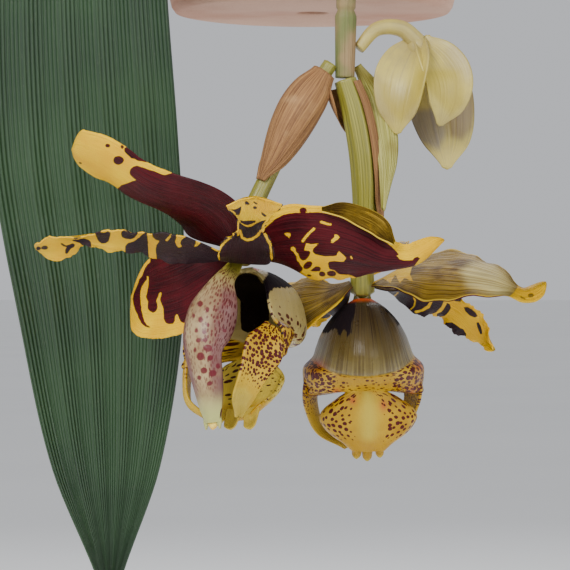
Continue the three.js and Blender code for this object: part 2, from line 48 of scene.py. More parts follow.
camera = bpy.context.object
camera.data.sensor_width = 36
camera.data.lens = 36 * flower_depth / (picture_width * pixel)
camera.data.clip_start = 0.05
camera.data.clip_end = 50
bpy.context.scene.camera = camera


def picture_x(place):
    return picture_width / 2 + (place[0] - eye.x) / ((place[1] - eye.y) * pixel)


def picture_y(place):
    return picture_width / 2 - (place[2] - eye.z) / ((place[1] - eye.y) * pixel)


# Pale floor below the hanging plant, and soft light from large lamps and a pale sky.
class Wire:
    """A socket in a finish's nodes; sums on it add Math nodes"""

    def __init__(self, finish, socket):
        self.finish = finish
        self.socket = socket

    def math(self, operation, first, second):
        return self.finish.add("ShaderNodeMath", {"operation": operation}, [first, second])

    def __add__(self, other):
        return self.math("ADD", self, other)

    def __sub__(self, other):
        return self.math("SUBTRACT", self, other)

    def __rsub__(self, other):
        return self.math("SUBTRACT", other, self)

    def __mul__(self, other):
        return self.math("MULTIPLY", self, other)

    __radd__ = __add__
    __rmul__ = __mul__

    def size(self):
        return self.math("ABSOLUTE", self, 0)

    def rise(self, start, end):
        """0 below start, 1 above end, with a soft step between"""
        return self.finish.add(
            "ShaderNodeMapRange", {"interpolation_type": "SMOOTHSTEP"},
            {"Value": self, "From Min": start, "From Max": end})


class Finish:
    """One procedural material, added to node by node"""

    def __init__(self, name, slot, **constants):
        self.slot = slot
        self.material = bpy.data.materials.new(name)
        self.material.use_nodes = True
        self.nodes = self.material.node_tree.nodes
        self.links = self.material.node_tree.links
        self.skin = self.nodes["Principled BSDF"]
        for socket, value in constants.items():
            self.skin.inputs[socket.replace("_", " ")].default_value = value

    def put(self, socket, value):
        if isinstance(value, Wire):
            self.links.new(value.socket, socket)
        elif isinstance(value, (tuple, list)) and len(value) == 3 and len(socket.default_value) == 4:
            socket.default_value = (*value, 1)
        else:
            socket.default_value = value

    def add(self, kind, settings=None, values=None, out=0):
        node = self.nodes.new(kind)
        for name, value in (settings or {}).items():
            setattr(node, name, value)
        pairs = values.items() if isinstance(values, dict) else enumerate(values or [])
        for key, value in pairs:
            self.put(node.inputs[key], value)
        return Wire(self, node.outputs[out])

    def grain(self, scale, detail=3, stretch=None):
        """Noise over the piece, per metre, stretched along an axis if asked"""
        where = self.add("ShaderNodeTexCoord", out="Object")
        if stretch:
            where = self.add("ShaderNodeMapping", {}, {"Vector": where, "Scale": stretch})
        return self.add("ShaderNodeTexNoise", {}, {"Vector": where, "Scale": scale, "Detail": detail})

    def fibres(self, across, along_it, detail, roughness=0.5):
        """Fine lines that run along a piece, by its own map of width and length"""
        where = self.add("ShaderNodeMapping", {}, {
            "Vector": self.add("ShaderNodeUVMap"), "Scale": (across, along_it, 1)})
        return self.add("ShaderNodeTexNoise", {}, {
            "Vector": where, "Scale": 1.0, "Detail": detail, "Roughness": roughness})

    def field(self, name):
        """The number that is painted under a name at each corner of a piece"""
        return self.add("ShaderNodeAttribute", {"attribute_name": name}, out=2)

    def blend(self, share, first, second, mode="MIX"):
        return self.add("ShaderNodeMix", {"data_type": "RGBA", "blend_type": mode}, {
            0: share, 6: first, 7: second}, out=2)

    def finish(self, colour=None, roughness=None, height=None, depth=0.0004):
        if colour is not None:
            self.put(self.skin.inputs["Base Color"], colour)
        if roughness is not None:
            self.put(self.skin.inputs["Roughness"], roughness)
        if height is not None:
            bump = self.add("ShaderNodeBump", {}, {"Height": height, "Distance": depth})
            self.put(self.skin.inputs["Normal"], bump)
        return self


floor_level = -0.93
bpy.ops.mesh.primitive_plane_add(size=120, location=(0, 0, floor_level))
floor = bpy.context.object
floor.name = "floor"
pale = Finish("pale_floor", None, Roughness=0.9)
cloudy = pale.grain(1.5, 2).rise(0.35, 0.65)
pale.finish(pale.blend(cloudy, (0.88, 0.88, 0.87), (0.9, 0.9, 0.89)))
floor.data.materials.append(pale.material)

sky = bpy.data.worlds.new("studio")
bpy.context.scene.world = sky
sky.use_nodes = True
sky.node_tree.nodes["Background"].inputs["Color"].default_value = (0.93, 0.95, 1, 1)
sky.node_tree.nodes["Background"].inputs["Strength"].default_value = 0.62
for spot, turn, width, watts in [
    ((-0.7, -1.3, 0.25), (math.radians(55), 0, math.radians(-28)), 0.7, 27),
    ((0.9, -1.2, -0.2), (math.radians(72), 0, math.radians(38)), 0.9, 9),
    ((0.1, 1.1, 0.4), (math.radians(-52), 0, math.radians(5)), 0.9, 14),
]:
    bpy.ops.object.light_add(type="AREA", location=spot, rotation=turn)
    bpy.context.object.data.size = width
    bpy.context.object.data.energy = watts


# The pot is a plain thrown pan of unglazed red clay with a rolled band at the rim and one drain
# hole. It was turned on a wheel, dried and fired, and watering has left pale salts on it.
def shaped(name, finish, *nodes):
    """Names the chosen object, gives it its finish and seats it in place of its CAD nodes"""
    piece = bpy.context.object
    piece.name = name
    piece.data.name = name
    bpy.ops.object.transform_apply(location=True, rotation=True, scale=True)
    finishes = finish if isinstance(finish, list) else [finish]
    if not piece.data.materials:
        for one in finishes:
            piece.data.materials.append(one.material)
    for polygon in piece.data.polygons:
        polygon.use_smooth = True
    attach(piece, "root")
    if nodes:
        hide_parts(*nodes)
    return piece


def chosen(piece):
    """Brings a new piece into the scene as the only one chosen"""
    bpy.context.collection.objects.link(piece)
    bpy.ops.object.select_all(action="DESELECT")
    piece.select_set(True)
    bpy.context.view_layer.objects.active = piece


def turned(profile, closed, steps=96):
    """A profile of (radius, height) in mm, spun about the upright axis"""
    mesh = bpy.data.meshes.new("turned")
    corners = [(radius / 1000, 0, height / 1000) for radius, height in profile]
    edges = [(i, i + 1) for i in range(len(corners) - 1)]
    if closed:
        edges.append((len(corners) - 1, 0))
    mesh.from_pydata(corners, edges, [])
    piece = bpy.data.objects.new("turned", mesh)
    chosen(piece)
    bpy.ops.object.mode_set(mode="EDIT")
    bpy.ops.mesh.select_all(action="SELECT")
    bpy.ops.mesh.spin(steps=steps, angle=2 * math.pi, center=(0, 0, 0), axis=(0, 0, 1))
    bpy.ops.mesh.select_all(action="SELECT")
    bpy.ops.mesh.remove_doubles(threshold=1e-5)
    bpy.ops.mesh.normals_make_consistent(inside=False)
    bpy.ops.object.mode_set(mode="OBJECT")
    return piece


rim_foot = -430
pot_profile = [
    (7, -500), (7, -504.4), (7.6, -505), (58, -505), (60.5, -504.6), (62, -502.5), (65, -491),
    (69, -476), (73.5, -459), (78, -443), (81.2, -432), (81.8, -430.6), (83, -430), (88.4, -430),
    (89.4, -429.5), (90, -428.4), (89.8, -424), (90, -418), (90, -412.6), (89.2, -410.8), (87.5, -410),
    (84.4, -410), (82.8, -410.7), (81.9, -412.4), (79.8, -420), (77, -430), (70.5, -455), (62, -486),
    (57.8, -498), (56.6, -499.6), (54, -500)]
clay = Finish("red_clay", "clay", Roughness=0.85)
pores = clay.grain(900, 4)
smear = clay.grain(14, 4, stretch=(1, 1, 5))
rings = clay.grain(120, 2, stretch=(0.02, 0.02, 1))
height = clay.add("ShaderNodeSeparateXYZ", {}, [clay.add("ShaderNodeTexCoord", out="Object")], out=2)
salts = ((height + rim_foot * -0.001 + 0.03) * -20 + smear * 2.2).rise(1.2, 2.1)
body_colour = clay.blend(smear.rise(0.35, 0.7), (0.40, 0.135, 0.062), (0.52, 0.21, 0.11))
body_colour = clay.blend(salts * 0.5, body_colour, (0.66, 0.5, 0.4))
body_colour = clay.blend(pores.rise(0.62, 0.75) * 0.4, body_colour, (0.25, 0.09, 0.05))
clay.finish(body_colour, smear * 0.2 + 0.72, pores * 0.35 + rings * 0.9 + smear * 0.3, 0.0009)
turned(pot_profile, closed=True)
shaped("pot", clay, "pot")

# The hanger is bent from galvanised steel wire: a hook with a turned collar at its foot, and three
# thin wires that run from the collar to clips bent in under the pot's rim.
steel = Finish("galvanised_steel", "wire", Metallic=1.0)
spangle = steel.add("ShaderNodeTexVoronoi", {}, {
    "Vector": steel.add("ShaderNodeTexCoord", out="Object"), "Scale": 500.0}, out="Color")
drawn = steel.grain(260, 3)
steel.finish(
    steel.blend(steel.add("ShaderNodeSeparateColor", {}, [spangle]), (0.42, 0.43, 0.45), (0.6, 0.61, 0.62)),
    drawn * 0.25 + 0.28, drawn, 0.0002)


def round_wire(points, radius):
    """A round wire along points in mm, turned into a mesh with closed ends"""
    curve = bpy.data.curves.new("wire", "CURVE")
    curve.dimensions = "3D"
    curve.bevel_depth = radius / 1000
    curve.bevel_resolution = 4
    curve.use_fill_caps = True
    curve.resolution_u = 8
    spline = curve.splines.new("BEZIER")
    spline.bezier_points.add(len(points) - 1)
    for knot, point in zip(spline.bezier_points, points):
        knot.co = Vector(point) / 1000
        knot.handle_left_type = knot.handle_right_type = "AUTO"
    chosen(bpy.data.objects.new("wire", curve))
    bpy.ops.object.convert(target="MESH")
    return bpy.context.object


def merged(pieces):
    bpy.ops.object.select_all(action="DESELECT")
    for piece in pieces:
        piece.select_set(True)
    bpy.context.view_layer.objects.active = pieces[0]
    bpy.ops.object.join()
    return bpy.context.object


hook_radius = 12.6
hook_middle = -11
bend = [(hook_radius * math.cos(math.radians(a)), 0, hook_middle + hook_radius * math.sin(math.radians(a)))
        for a in range(-35, 226, 20)]
hook = round_wire([*bend, (-3.5, 0, -25.1), (0, 0, -31), (0, 0, -38)], 1.6)
collar = turned([
    (0, -34), (4.4, -34), (5.2, -34.4), (5.5, -35.2), (5.5, -38.6), (5, -39), (5, -40), (5.5, -40.4),
    (5.5, -43.8), (5.2, -44.6), (4.4, -45), (0, -45)], closed=False, steps=40)
merged([hook, collar])
shaped("hook", steel, "hanger_hook")
for number, azimuth in enumerate((60, 180, 300), 1):
    turn = math.radians(azimuth)
    route = [(2.6, -45.3), (3.6, -54), (24, -138), (60, -284), (88, -396), (91.2, -405), (91.4, -412),
             (91.4, -427.5), (91, -429.8), (90, -431.2), (87.5, -431.7), (84.5, -431.8)]
    round_wire([(r * math.cos(turn), r * math.sin(turn), z) for r, z in route], 1.1)
    shaped(f"hanger_wire_{number}", steel, f"hanger_wire_{number}")

# The orchid grows in coarse fir bark packed into the pot: chips of all sizes, damp and dark, with a
# little moss that has settled between them.
mix_level = -424
mix_mound = 9
bark = Finish("damp_bark", "bark", Roughness=0.9)
fleck = bark.grain(330, 5)
damp = bark.grain(60, 3)
mossy = (bark.grain(38, 4) + bark.grain(420, 2) * 0.35).rise(0.74, 0.84)
bark_colour = bark.blend(fleck.rise(0.3, 0.7), (0.045, 0.022, 0.012), (0.16, 0.085, 0.045))
bark_colour = bark.blend(damp.rise(0.5, 0.7) * 0.6, bark_colour, (0.03, 0.016, 0.01))
bark.finish(bark.blend(mossy, bark_colour, (0.07, 0.11, 0.02)), fleck * 0.25 + 0.65, fleck, 0.0016)


def mound(x, y):
    """Height of the mix in mm at a place in the pot, without its chips"""
    share = math.hypot(x, y) / 73
    return mix_level + mix_mound * (1 - share * share)


ground_radius = 74
ground_profile = [(0, -499.7), (56, -499.7), (58, -496), (66, -470), (73.2, -442), (74.6, mix_level - 4)]
for ring in range(34):
    reach = ground_radius - 2.2 * ring
    ground_profile.append((reach, mix_level + mix_mound * (1 - (reach / ground_radius) ** 2)))
ground_profile.append((0, mix_level + mix_mound))
ground = turned(ground_profile, closed=False)
for vertex in ground.data.vertices:
    if vertex.co.z * 1000 > mix_level - 2 and vertex.co.xy.length < 0.0725:
        rough = noise.noise(vertex.co * 95) * 2.6 + noise.noise(vertex.co * 260) * 1.6
        vertex.co.z += rough / 1000
shaped("potting_mix", bark, "potting_mix")

chip_seed = random.Random(11)
chip_count = 230
chips = []
for number in range(chip_count):
    reach = 69 * math.sqrt(chip_seed.random())
    angle = chip_seed.uniform(0, 2 * math.pi)
    x, y = reach * math.cos(angle), reach * math.sin(angle)
    bpy.ops.mesh.primitive_cube_add(size=1, location=(x / 1000, y / 1000, mound(x, y) / 1000 + 0.0008))
    chip = bpy.context.object
    chip.scale = [chip_seed.uniform(low, high) / 1000 for low, high in ((5, 14), (4, 9), (2, 4.2))]
    chip.rotation_euler = (chip_seed.uniform(-0.5, 0.5), chip_seed.uniform(-0.5, 0.5), angle * 7)
    bpy.ops.object.mode_set(mode="EDIT")
    bpy.ops.mesh.select_all(action="SELECT")
    bpy.ops.mesh.subdivide(number_cuts=1, smoothness=0.4, fractal=0.6, seed=number)
    bpy.ops.object.mode_set(mode="OBJECT")
    chips.append(chip)
merged(chips)
shaped("bark_chips", bark)


# Each pseudobulb is a swollen green stem, ribbed as it ages, with brown papery remains of its
# sheaths round its foot. It stands a little sunk in the bark.
def along(values, t):
    """A value read along a row of numbers with a smooth curve through them"""
    rows = np.asarray(values, float)
    place = np.clip(t, 0, 1) * (len(rows) - 1)
    i = np.minimum(np.floor(place).astype(int), len(rows) - 2)
    f = place - i
    a, b = rows[np.maximum(i - 1, 0)], rows[i]
    c, d = rows[i + 1], rows[np.minimum(i + 2, len(rows) - 1)]
    slope_b, slope_c = (c - a) / 2, (d - b) / 2
    curve = 2 * b - 2 * c + slope_b + slope_c
    return ((curve * f + 3 * c - 3 * b - 2 * slope_b - slope_c) * f + slope_b) * f + b


def unit(rows):
    return rows / np.maximum(np.linalg.norm(rows, axis=-1, keepdims=True), 1e-12)


def step(t, low, high):
    t = np.clip((t - low) / (high - low), 0, 1)
    return t * t * (3 - 2 * t)


class Spine:
    """A smooth curve through points in mm, read by its share of the whole length"""

    def __init__(self, points):
        p = np.asarray(points, float)
        p = np.vstack([2 * p[0] - p[1], p, 2 * p[-1] - p[-2]])
        rows = []
        for i in range(1, len(p) - 2):
            gap = [max(np.linalg.norm(p[i + k] - p[i + k - 1]) ** 0.5, 1e-4) for k in range(3)]
            leave = ((p[i] - p[i - 1]) / gap[0] - (p[i + 1] - p[i - 1]) / (gap[0] + gap[1])
                     + (p[i + 1] - p[i]) / gap[1]) * gap[1]
            arrive = ((p[i + 1] - p[i]) / gap[1] - (p[i + 2] - p[i]) / (gap[1] + gap[2])
                      + (p[i + 2] - p[i + 1]) / gap[2]) * gap[1]
            t = np.linspace(0, 1, 60, endpoint=False)[:, None]
            rows.append((2 * t**3 - 3 * t**2 + 1) * p[i] + (t**3 - 2 * t**2 + t) * leave
                        + (3 * t**2 - 2 * t**3) * p[i + 1] + (t**3 - t**2) * arrive)
        self.rows = np.vstack([*rows, p[-2]])
        run = np.concatenate([[0], np.cumsum(np.linalg.norm(np.diff(self.rows, axis=0), axis=1))])
        self.length = run[-1]
        self.share = run / run[-1]
        self.ways = unit(np.gradient(self.rows, self.share, axis=0))

    def at(self, u):
        return np.stack([np.interp(u, self.share, self.rows[:, k]) for k in range(3)], -1)

    def way(self, u):
        return unit(np.stack([np.interp(u, self.share, self.ways[:, k]) for k in range(3)], -1))


def corners_of(piece):
    """Where the corners of a piece are, in metres, one to a row"""
    flat = np.empty(len(piece.data.vertices) * 3)
    piece.data.vertices.foreach_get("co", flat)
    return flat.reshape(-1, 3)


def grid(shape, steps, strips):
    """A grid of faces laid out by shape(u, v), which gives mm; u runs 0 to 1 and v from -1 to 1"""
    bpy.ops.object.select_all(action="DESELECT")
    bpy.ops.mesh.primitive_grid_add(x_subdivisions=strips, y_subdivisions=steps, size=2)
    piece = bpy.context.object
    flat = corners_of(piece)
    u, v = (flat[:, 1] + 1) / 2, flat[:, 0]
    piece.data.vertices.foreach_set("co", (shape(u, v) / 1000).ravel())
    return piece, u, v


def round_body(path, radius, steps, sides):
    """A closed round body along a path, with radius(t, angle) in mm"""
    spine = Spine(path)
    upright = np.array([0, 1, 0.01])

    def skin(u, v):
        way = spine.way(u)
        right = unit(np.cross(np.broadcast_to(upright, way.shape), way))
        up = np.cross(way, right)
        angle = math.pi * (v + 1)
        r = radius(u, angle)[:, None]
        return spine.at(u) + r * np.cos(angle)[:, None] * right + r * np.sin(angle)[:, None] * up

    piece, u, v = grid(skin, steps, sides)
    bpy.ops.object.mode_set(mode="EDIT")
    bpy.ops.mesh.select_all(action="SELECT")
    bpy.ops.mesh.remove_doubles(threshold=2e-6)
    bpy.ops.mesh.fill_holes(sides=0)
    bpy.ops.mesh.normals_make_consistent(inside=False)
    bpy.ops.object.mode_set(mode="OBJECT")
    return piece


bulb_places = [(18, -26), (-17, -25), (30, 22), (1, 8), (-34, 8)]
bulb_foot = mix_level + mix_mound - 10
bulb_height = 52
bulb_radius = 15
bulb_girth = [0.45, 0.82, 0.98, 1, 0.93, 0.78, 0.58, 0.4, 0.24]
bulb_skin = Finish("pseudobulb_skin", "pseudobulb", Roughness=0.45, Coat_Weight=0.1)
around = bulb_skin.grain(70, 4, stretch=(1, 1, 0.25))
speck = bulb_skin.grain(900, 2)
age = bulb_skin.grain(25, 3)
bulb_colour = bulb_skin.blend(around.rise(0.3, 0.7), (0.10, 0.16, 0.028), (0.24, 0.29, 0.07))
bulb_colour = bulb_skin.blend(age.rise(0.52, 0.7) * 0.6, bulb_colour, (0.25, 0.19, 0.08))
bulb_colour = bulb_skin.blend(speck.rise(0.6, 0.72) * 0.5, bulb_colour, (0.08, 0.07, 0.03))
bulb_skin.finish(bulb_colour, around * 0.25 + 0.35, around * 0.7 + speck * 0.2, 0.0008)
for number, (x, y) in enumerate(bulb_places, 1):
    def ribbed_bulb(t, angle, turn=number):
        rib = 1 + 0.05 * np.cos(8 * angle) + 0.015 * np.cos(24 * angle + 9 * t + turn)
        return bulb_radius * along(bulb_girth, t) * rib

    round_body([(x, y, bulb_foot), (x, y, bulb_foot + bulb_height / 2), (x, y, bulb_foot + bulb_height)],
               ribbed_bulb, 40, 72)
    shaped(f"pseudobulb_{number}", bulb_skin, f"pseudobulb_{number}")

# Dead brown sheaths still wrap the foot of each pseudobulb, split down one side and torn at their
# tops.
def thickened(piece, thickness, faces=None):
    """Gives a sheet its thickness in mm at each of its corners, and closes it; faces holds the
    finishes of its front and its back, where they differ"""
    for finish in faces or []:
        piece.data.materials.append(finish.material)
    most = float(np.max(thickness))
    body = piece.vertex_groups.new(name="body")
    for index, here in enumerate(thickness):
        body.add([index], float(here) / most, "REPLACE")
    wall = piece.modifiers.new("wall", "SOLIDIFY")
    wall.thickness = most / 1000
    wall.offset = 0
    wall.vertex_group = "body"
    wall.material_offset = 1 if faces else 0
    bpy.ops.object.modifier_apply(modifier="wall")
    piece.vertex_groups.clear()


dry = Finish("dry_bract", "dry_bract", Roughness=0.75)
dry_veins = dry.fibres(46, 1.6, 5, 0.65)
dry_cloud = dry.grain(90, 4)
dry_colour = dry.blend(dry_veins.rise(0.32, 0.68), (0.13, 0.048, 0.014), (0.40, 0.20, 0.065))
dry_colour = dry.blend(dry_cloud.rise(0.55, 0.75) * 0.5, dry_colour, (0.46, 0.27, 0.11))
dry.finish(dry_colour, dry_veins * 0.2 + 0.6, dry_veins, 0.0006)
for number, (x, y) in enumerate(bulb_places, 1):
    for outer, turn, low, high, gap in (
            (False, number * 1.3, 0.12, 0.52, 0.5), (True, number * 1.3 + 2.6, 0.08, 0.34, 0.9)):
        def torn_sheath(u, v):
            angle = v * (math.pi - gap / 2) + turn
            torn = 0.5 + 0.28 * np.sin(5 * angle + number)
            torn = torn + 0.14 * np.sin(17 * angle) + 0.08 * np.sin(41 * angle)
            t = low + (high - low) * u * (0.72 + 0.4 * torn * u)
            r = bulb_radius * along(bulb_girth, t) * 1.06 + 0.5 + 0.9 * u * u * torn
            r = r + (0.5 if outer else 0)
            return np.stack([x + r * np.cos(angle), y + r * np.sin(angle), bulb_foot + bulb_height * t], -1)

        sheath, u, v = grid(torn_sheath, 16, 72)
        thickened(sheath, 0.42 - 0.1 * u)
        shaped(f"sheath_{number}_{'outer' if outer else 'inner'}", dry)

# White corky roots creep from the pseudobulbs over the bark; a few have found the rim and hang down
# the outside of the pot. Their growing tips are green.
cork = Finish("root_cork", "dry_bract", Roughness=0.8)
cork_grain = cork.grain(260, 4)
cork_cloud = cork.grain(40, 3)
cork_colour = cork.blend(cork_cloud.rise(0.35, 0.7), (0.42, 0.40, 0.33), (0.26, 0.24, 0.18))
cork_colour = cork.blend(cork_grain.rise(0.5, 0.75) * 0.4, cork_colour, (0.16, 0.15, 0.11))
cork_colour = cork.blend(cork.field("green_end"), cork_colour, (0.13, 0.20, 0.03))
cork.finish(cork_colour, cork_grain * 0.2 + 0.6, cork_grain, 0.0004)


def paint(piece, **fields):
    """Stores a number at each corner of a piece under each name, for its finish to read"""
    for name, values in fields.items():
        values = np.broadcast_to(np.asarray(values, float), len(piece.data.vertices))
        piece.data.attributes.new(name, "FLOAT", "POINT").data.foreach_set("value", values)


root_seed = random.Random(5)
roots = []
for number, (bulb, azimuth, over) in enumerate([
    (0, -20, False), (0, -48, True), (1, -140, True), (1, 195, False), (2, 22, True), (2, 70, False),
    (3, 100, False), (4, 150, True), (4, 205, False), (1, -110, False), (3, -75, False), (2, -2, False),
], 1):
    x, y = bulb_places[bulb]
    turn = math.radians(azimuth)
    start = (x + 9 * math.cos(turn), y + 9 * math.sin(turn))
    spread = 74 if over else 66
    end = (spread * math.cos(turn), spread * math.sin(turn))
    route = []
    for i in range(7):
        share = i / 6
        sway = 5 * math.sin(math.pi * share) * math.sin(number * 2.1 + 4 * share)
        px = start[0] + (end[0] - start[0]) * share - sway * math.sin(turn)
        py = start[1] + (end[1] - start[1]) * share + sway * math.cos(turn)
        route.append((px, py, mound(px, py) + 2.6 + root_seed.uniform(-0.4, 1.2) * (i < 6)))
    if over:
        drop = [(80, -410.4), (85, -408.2), (90, -408.6), (91.8, -413), (92, -421), (91.4, -430),
                (88, -438), (84.4, -447), (82, -456), (80.4, -464 - 6 * root_seed.random())]
        for i, (reach, z) in enumerate(drop):
            lean = turn + 0.012 * i * math.sin(number * 1.7)
            route.append((reach * math.cos(lean), reach * math.sin(lean), z))

    def root_radius(t, angle):
        knobbly = 1 + 0.08 * np.sin(31 * t + number)
        return 1.45 * knobbly * np.sqrt(np.clip(1.001 - step(t, 0.93, 1) ** 2, 0.02, 1))

    root = round_body(route, root_radius, 90, 10)
    reach = np.linalg.norm(corners_of(root) - np.array(route[-1]) / 1000, axis=1)
    paint(root, green_end=1 - step(reach, 0.004, 0.009))
    roots.append(root)
merged(roots)
shaped("roots", cork)

# Moss has settled on the wet bark in soft cushions, each a tuft of tiny pointed leaves.
moss = Finish("moss_leaf", "leaf", Roughness=0.8)
moss_grain = moss.grain(200, 3)
moss_colour = moss.blend(moss_grain.rise(0.35, 0.65), (0.035, 0.07, 0.008), (0.12, 0.19, 0.025))
moss.finish(moss_colour, moss_grain * 0.1 + 0.75)
moss_seed = random.Random(23)
corners, faces = [], []
for tuft in range(64):
    reach, angle = 68 * math.sqrt(moss_seed.random()), moss_seed.uniform(0, 2 * math.pi)
    middle_x, middle_y = reach * math.cos(angle), reach * math.sin(angle)
    spread = moss_seed.uniform(2.5, 6)
    for leaflet in range(46):
        px, py = middle_x + moss_seed.gauss(0, spread * 0.5), middle_y + moss_seed.gauss(0, spread * 0.5)
        if math.hypot(px, py) > 71:
            continue
        away = math.hypot(px - middle_x, py - middle_y) / spread
        base = mound(px, py) + 1.2
        tip = base + 1.4 + 2.4 * max(0.0, 1 - away)
        turn, wide = moss_seed.uniform(0, 2 * math.pi), moss_seed.uniform(0.25, 0.45)
        first = len(corners)
        for third in range(3):
            corner = turn + third * 2 * math.pi / 3
            corners.append((px + wide * math.cos(corner), py + wide * math.sin(corner), base - 1))
        corners.append((px + moss_seed.gauss(0, 0.7), py + moss_seed.gauss(0, 0.7), tip))
        faces += [(first + 2, first + 1, first), (first, first + 1, first + 3),
                  (first + 1, first + 2, first + 3), (first + 2, first, first + 3)]
mesh = bpy.data.meshes.new("moss")
mesh.from_pydata([(a / 1000, b / 1000, c / 1000) for a, b, c in corners], [], faces)
chosen(bpy.data.objects.new("moss", mesh))
shaped("moss", moss)

# Leaves are thin and leathery, folded into long pleats that run from the stalk to the tip. Each
# grows on its own stalk from the top of a pseudobulb.
leaf_skin = Finish("leaf_skin", "leaf", Coat_Weight=0.12)
vein_lines = leaf_skin.add("ShaderNodeTexWave", {"bands_direction": "X"}, {
    "Vector": leaf_skin.add("ShaderNodeUVMap"), "Scale": 14.0, "Distortion": 0.4, "Detail": 2.0,
    "Detail Scale": 0.6}, out=1)
leaf_cloud = leaf_skin.grain(18, 4)
leaf_dust = leaf_skin.grain(500, 3)
leaf_colour = leaf_skin.blend(leaf_cloud.rise(0.3, 0.7), (0.008, 0.028, 0.010), (0.018, 0.052, 0.017))
leaf_colour = leaf_skin.blend(vein_lines * 0.35, leaf_colour, (0.04, 0.085, 0.03))
leaf_colour = leaf_skin.blend(leaf_dust.rise(0.6, 0.75) * 0.25, leaf_colour, (0.07, 0.085, 0.05))
leaf_skin.finish(leaf_colour, leaf_cloud * 0.25 + 0.3, vein_lines * 0.8 + leaf_dust * 0.15, 0.0005)


def blade(spine, across, widths, lift, steps, strips, tip=0.001, ragged=0):
    """A thin blade along a spine, wide in the direction across and lifted off it by lift(u, v); it is
    rounded over the share tip of its length, and its edge is ragged by so many mm"""
    curve = Spine(spine)

    def skin(u, v):
        way = curve.way(u)
        side = across(u, way)
        side = unit(side - np.sum(side * way, -1, keepdims=True) * way)
        face = np.cross(side, way)
        end = np.clip((u - 1 + tip) / tip, 0, 0.996)
        tear = np.sin(57 * u + 3 * v) + 0.7 * np.sin(131 * u + 1) + 0.5 * np.sin(211 * u * (1 + 0.1 * v))
        half = along(widths, u) * np.sqrt(1 - end * end)
        half = half + ragged * tear * step(u, 0.3, 0.5) * np.abs(v) ** 6
        return curve.at(u) + (v * half)[:, None] * side + (lift(u, v) * (1 - end * end))[:, None] * face

    return grid(skin, steps, strips)


leaf_widths = [2.6, 2.4, 3.4, 12, 23, 31, 34, 32, 25, 13, 1.2]
leaf_pleats = 5
pleat_depth = 1.3
leaves = [
    ([(18, -26, 0), (24, -27, 46), (44, -30, 96), (76, -36, 126), (112, -42, 121), (144, -48, 86),
      (166, -52, 36), (178, -55, -14)], (-15, -15), leaf_widths),
    ([(-17, -25, 0), (-19, -27, 40), (-29, -36, 78), (-48, -52, 96), (-68, -67, 84), (-84, -78, 38),
      (-94, -82, -30), (-98, -74, -110), (-96, -56, -190), (-90, -42, -260), (-88, -38, -325),
      (-86, -41, -392)], (222, 270), [2.6, 2.4, 3.4, 14, 26, 34, 38, 39, 34.5, 23, 1.2]),
    ([(30, 22, 0), (36, 25, 56), (52, 32, 121), (80, 44, 166), (114, 58, 181), (150, 72, 166),
      (180, 82, 126)], (20, 20), leaf_widths),
    ([(1, 8, 0), (-1, 16, 61), (-8, 34, 131), (-18, 62, 181), (-28, 96, 201), (-38, 130, 191),
      (-46, 158, 156)], (107, 107), leaf_widths),
    ([(-34, 8, 0), (-38, 14, 51), (-52, 26, 103), (-80, 44, 136), (-112, 62, 131), (-140, 76, 96),
      (-158, 84, 46)], (152, 152), leaf_widths),
]
leaf_seat = bulb_foot + bulb_height + 0.6
for number, (route, azimuths, widths) in enumerate(leaves, 1):
    def leaf_side(u, way, azimuths=azimuths):
        turn = np.radians(azimuths[0] + (azimuths[1] - azimuths[0]) * step(u, 0.16, 0.4))
        return np.stack([np.sin(turn), -np.cos(turn), 0 * turn], -1)

    def leaf_lift(u, v):
        spread = step(u, 0.16, 0.4)
        fold = np.arcsin(0.96 * np.cos(math.pi * (v + 1) * leaf_pleats)) / 1.287 * pleat_depth
        fine = 0.1 * np.cos(math.pi * (v + 1) * leaf_pleats * 6)
        return (spread * ((fold + fine) * np.minimum(1, (1 - u) * 8) + 5 * v * v)
                + (1 - spread) * 1.6 * v * v)

    leaf, u, v = blade([(x, y, z + leaf_seat) for x, y, z in route], leaf_side, widths, leaf_lift,
                       112, 50)
    thickened(leaf, (3.4 - 2.45 * step(u, 0.1, 0.3)) * (1 - 0.4 * np.abs(v) ** 3))
    shaped(f"leaf_{number}", leaf_skin, f"leaf_{number}")

# The flower spike is a round green stem in overlapping brown papery sheaths. It creeps from the foot
# of a pseudobulb over the pot's rim and hangs straight down.
spike_end = (12, -103, -542)
spike_skin = Finish("spike_sheaths", "spike", Roughness=0.6)
threads = spike_skin.fibres(40, 3, 4)
patches = spike_skin.grain(45, 3)
spike_colour = spike_skin.blend(patches.rise(0.4, 0.62), (0.13, 0.15, 0.035), (0.30, 0.19, 0.085))
spike_colour = spike_skin.blend(threads.rise(0.5, 0.7) * 0.5, spike_colour, (0.10, 0.06, 0.03))
spike_skin.finish(spike_colour, threads * 0.2 + 0.5, threads, 0.0005)
spike_sheaths = 7


def sheath_radius(t, angle):
    f = (t * spike_sheaths) % 1
    overlap = 1.3 * np.minimum(1, f * 9) * (1 - 0.45 * f)
    return 3.1 + overlap + 0.06 * np.cos(14 * angle)


round_body([(18, -41.6, -403), (17.6, -58, -400.5), (16.6, -80, -400), (15.6, -93.5, -404),
            (14.6, -100.5, -419), (13.6, -102.5, -450), (12.8, -103, -490), spike_end],
           sheath_radius, 220, 40)
shaped("flower_spike", spike_skin, "flower_spike")


# Under each flower a ribbed green ovary carries it on the spike. It is smooth and waxy, paler
# between its ribs.
def flower_frame(axis, outward):
    """Lateral, outward and axis directions of a flower: from side to side of its lip, from its
    column to its lip, and from its stalk to its tips"""
    z = unit(np.array(axis, float))
    y = np.array(outward, float)
    y = unit(y - (y @ z) * z)
    return np.stack([np.cross(y, z), y, z])


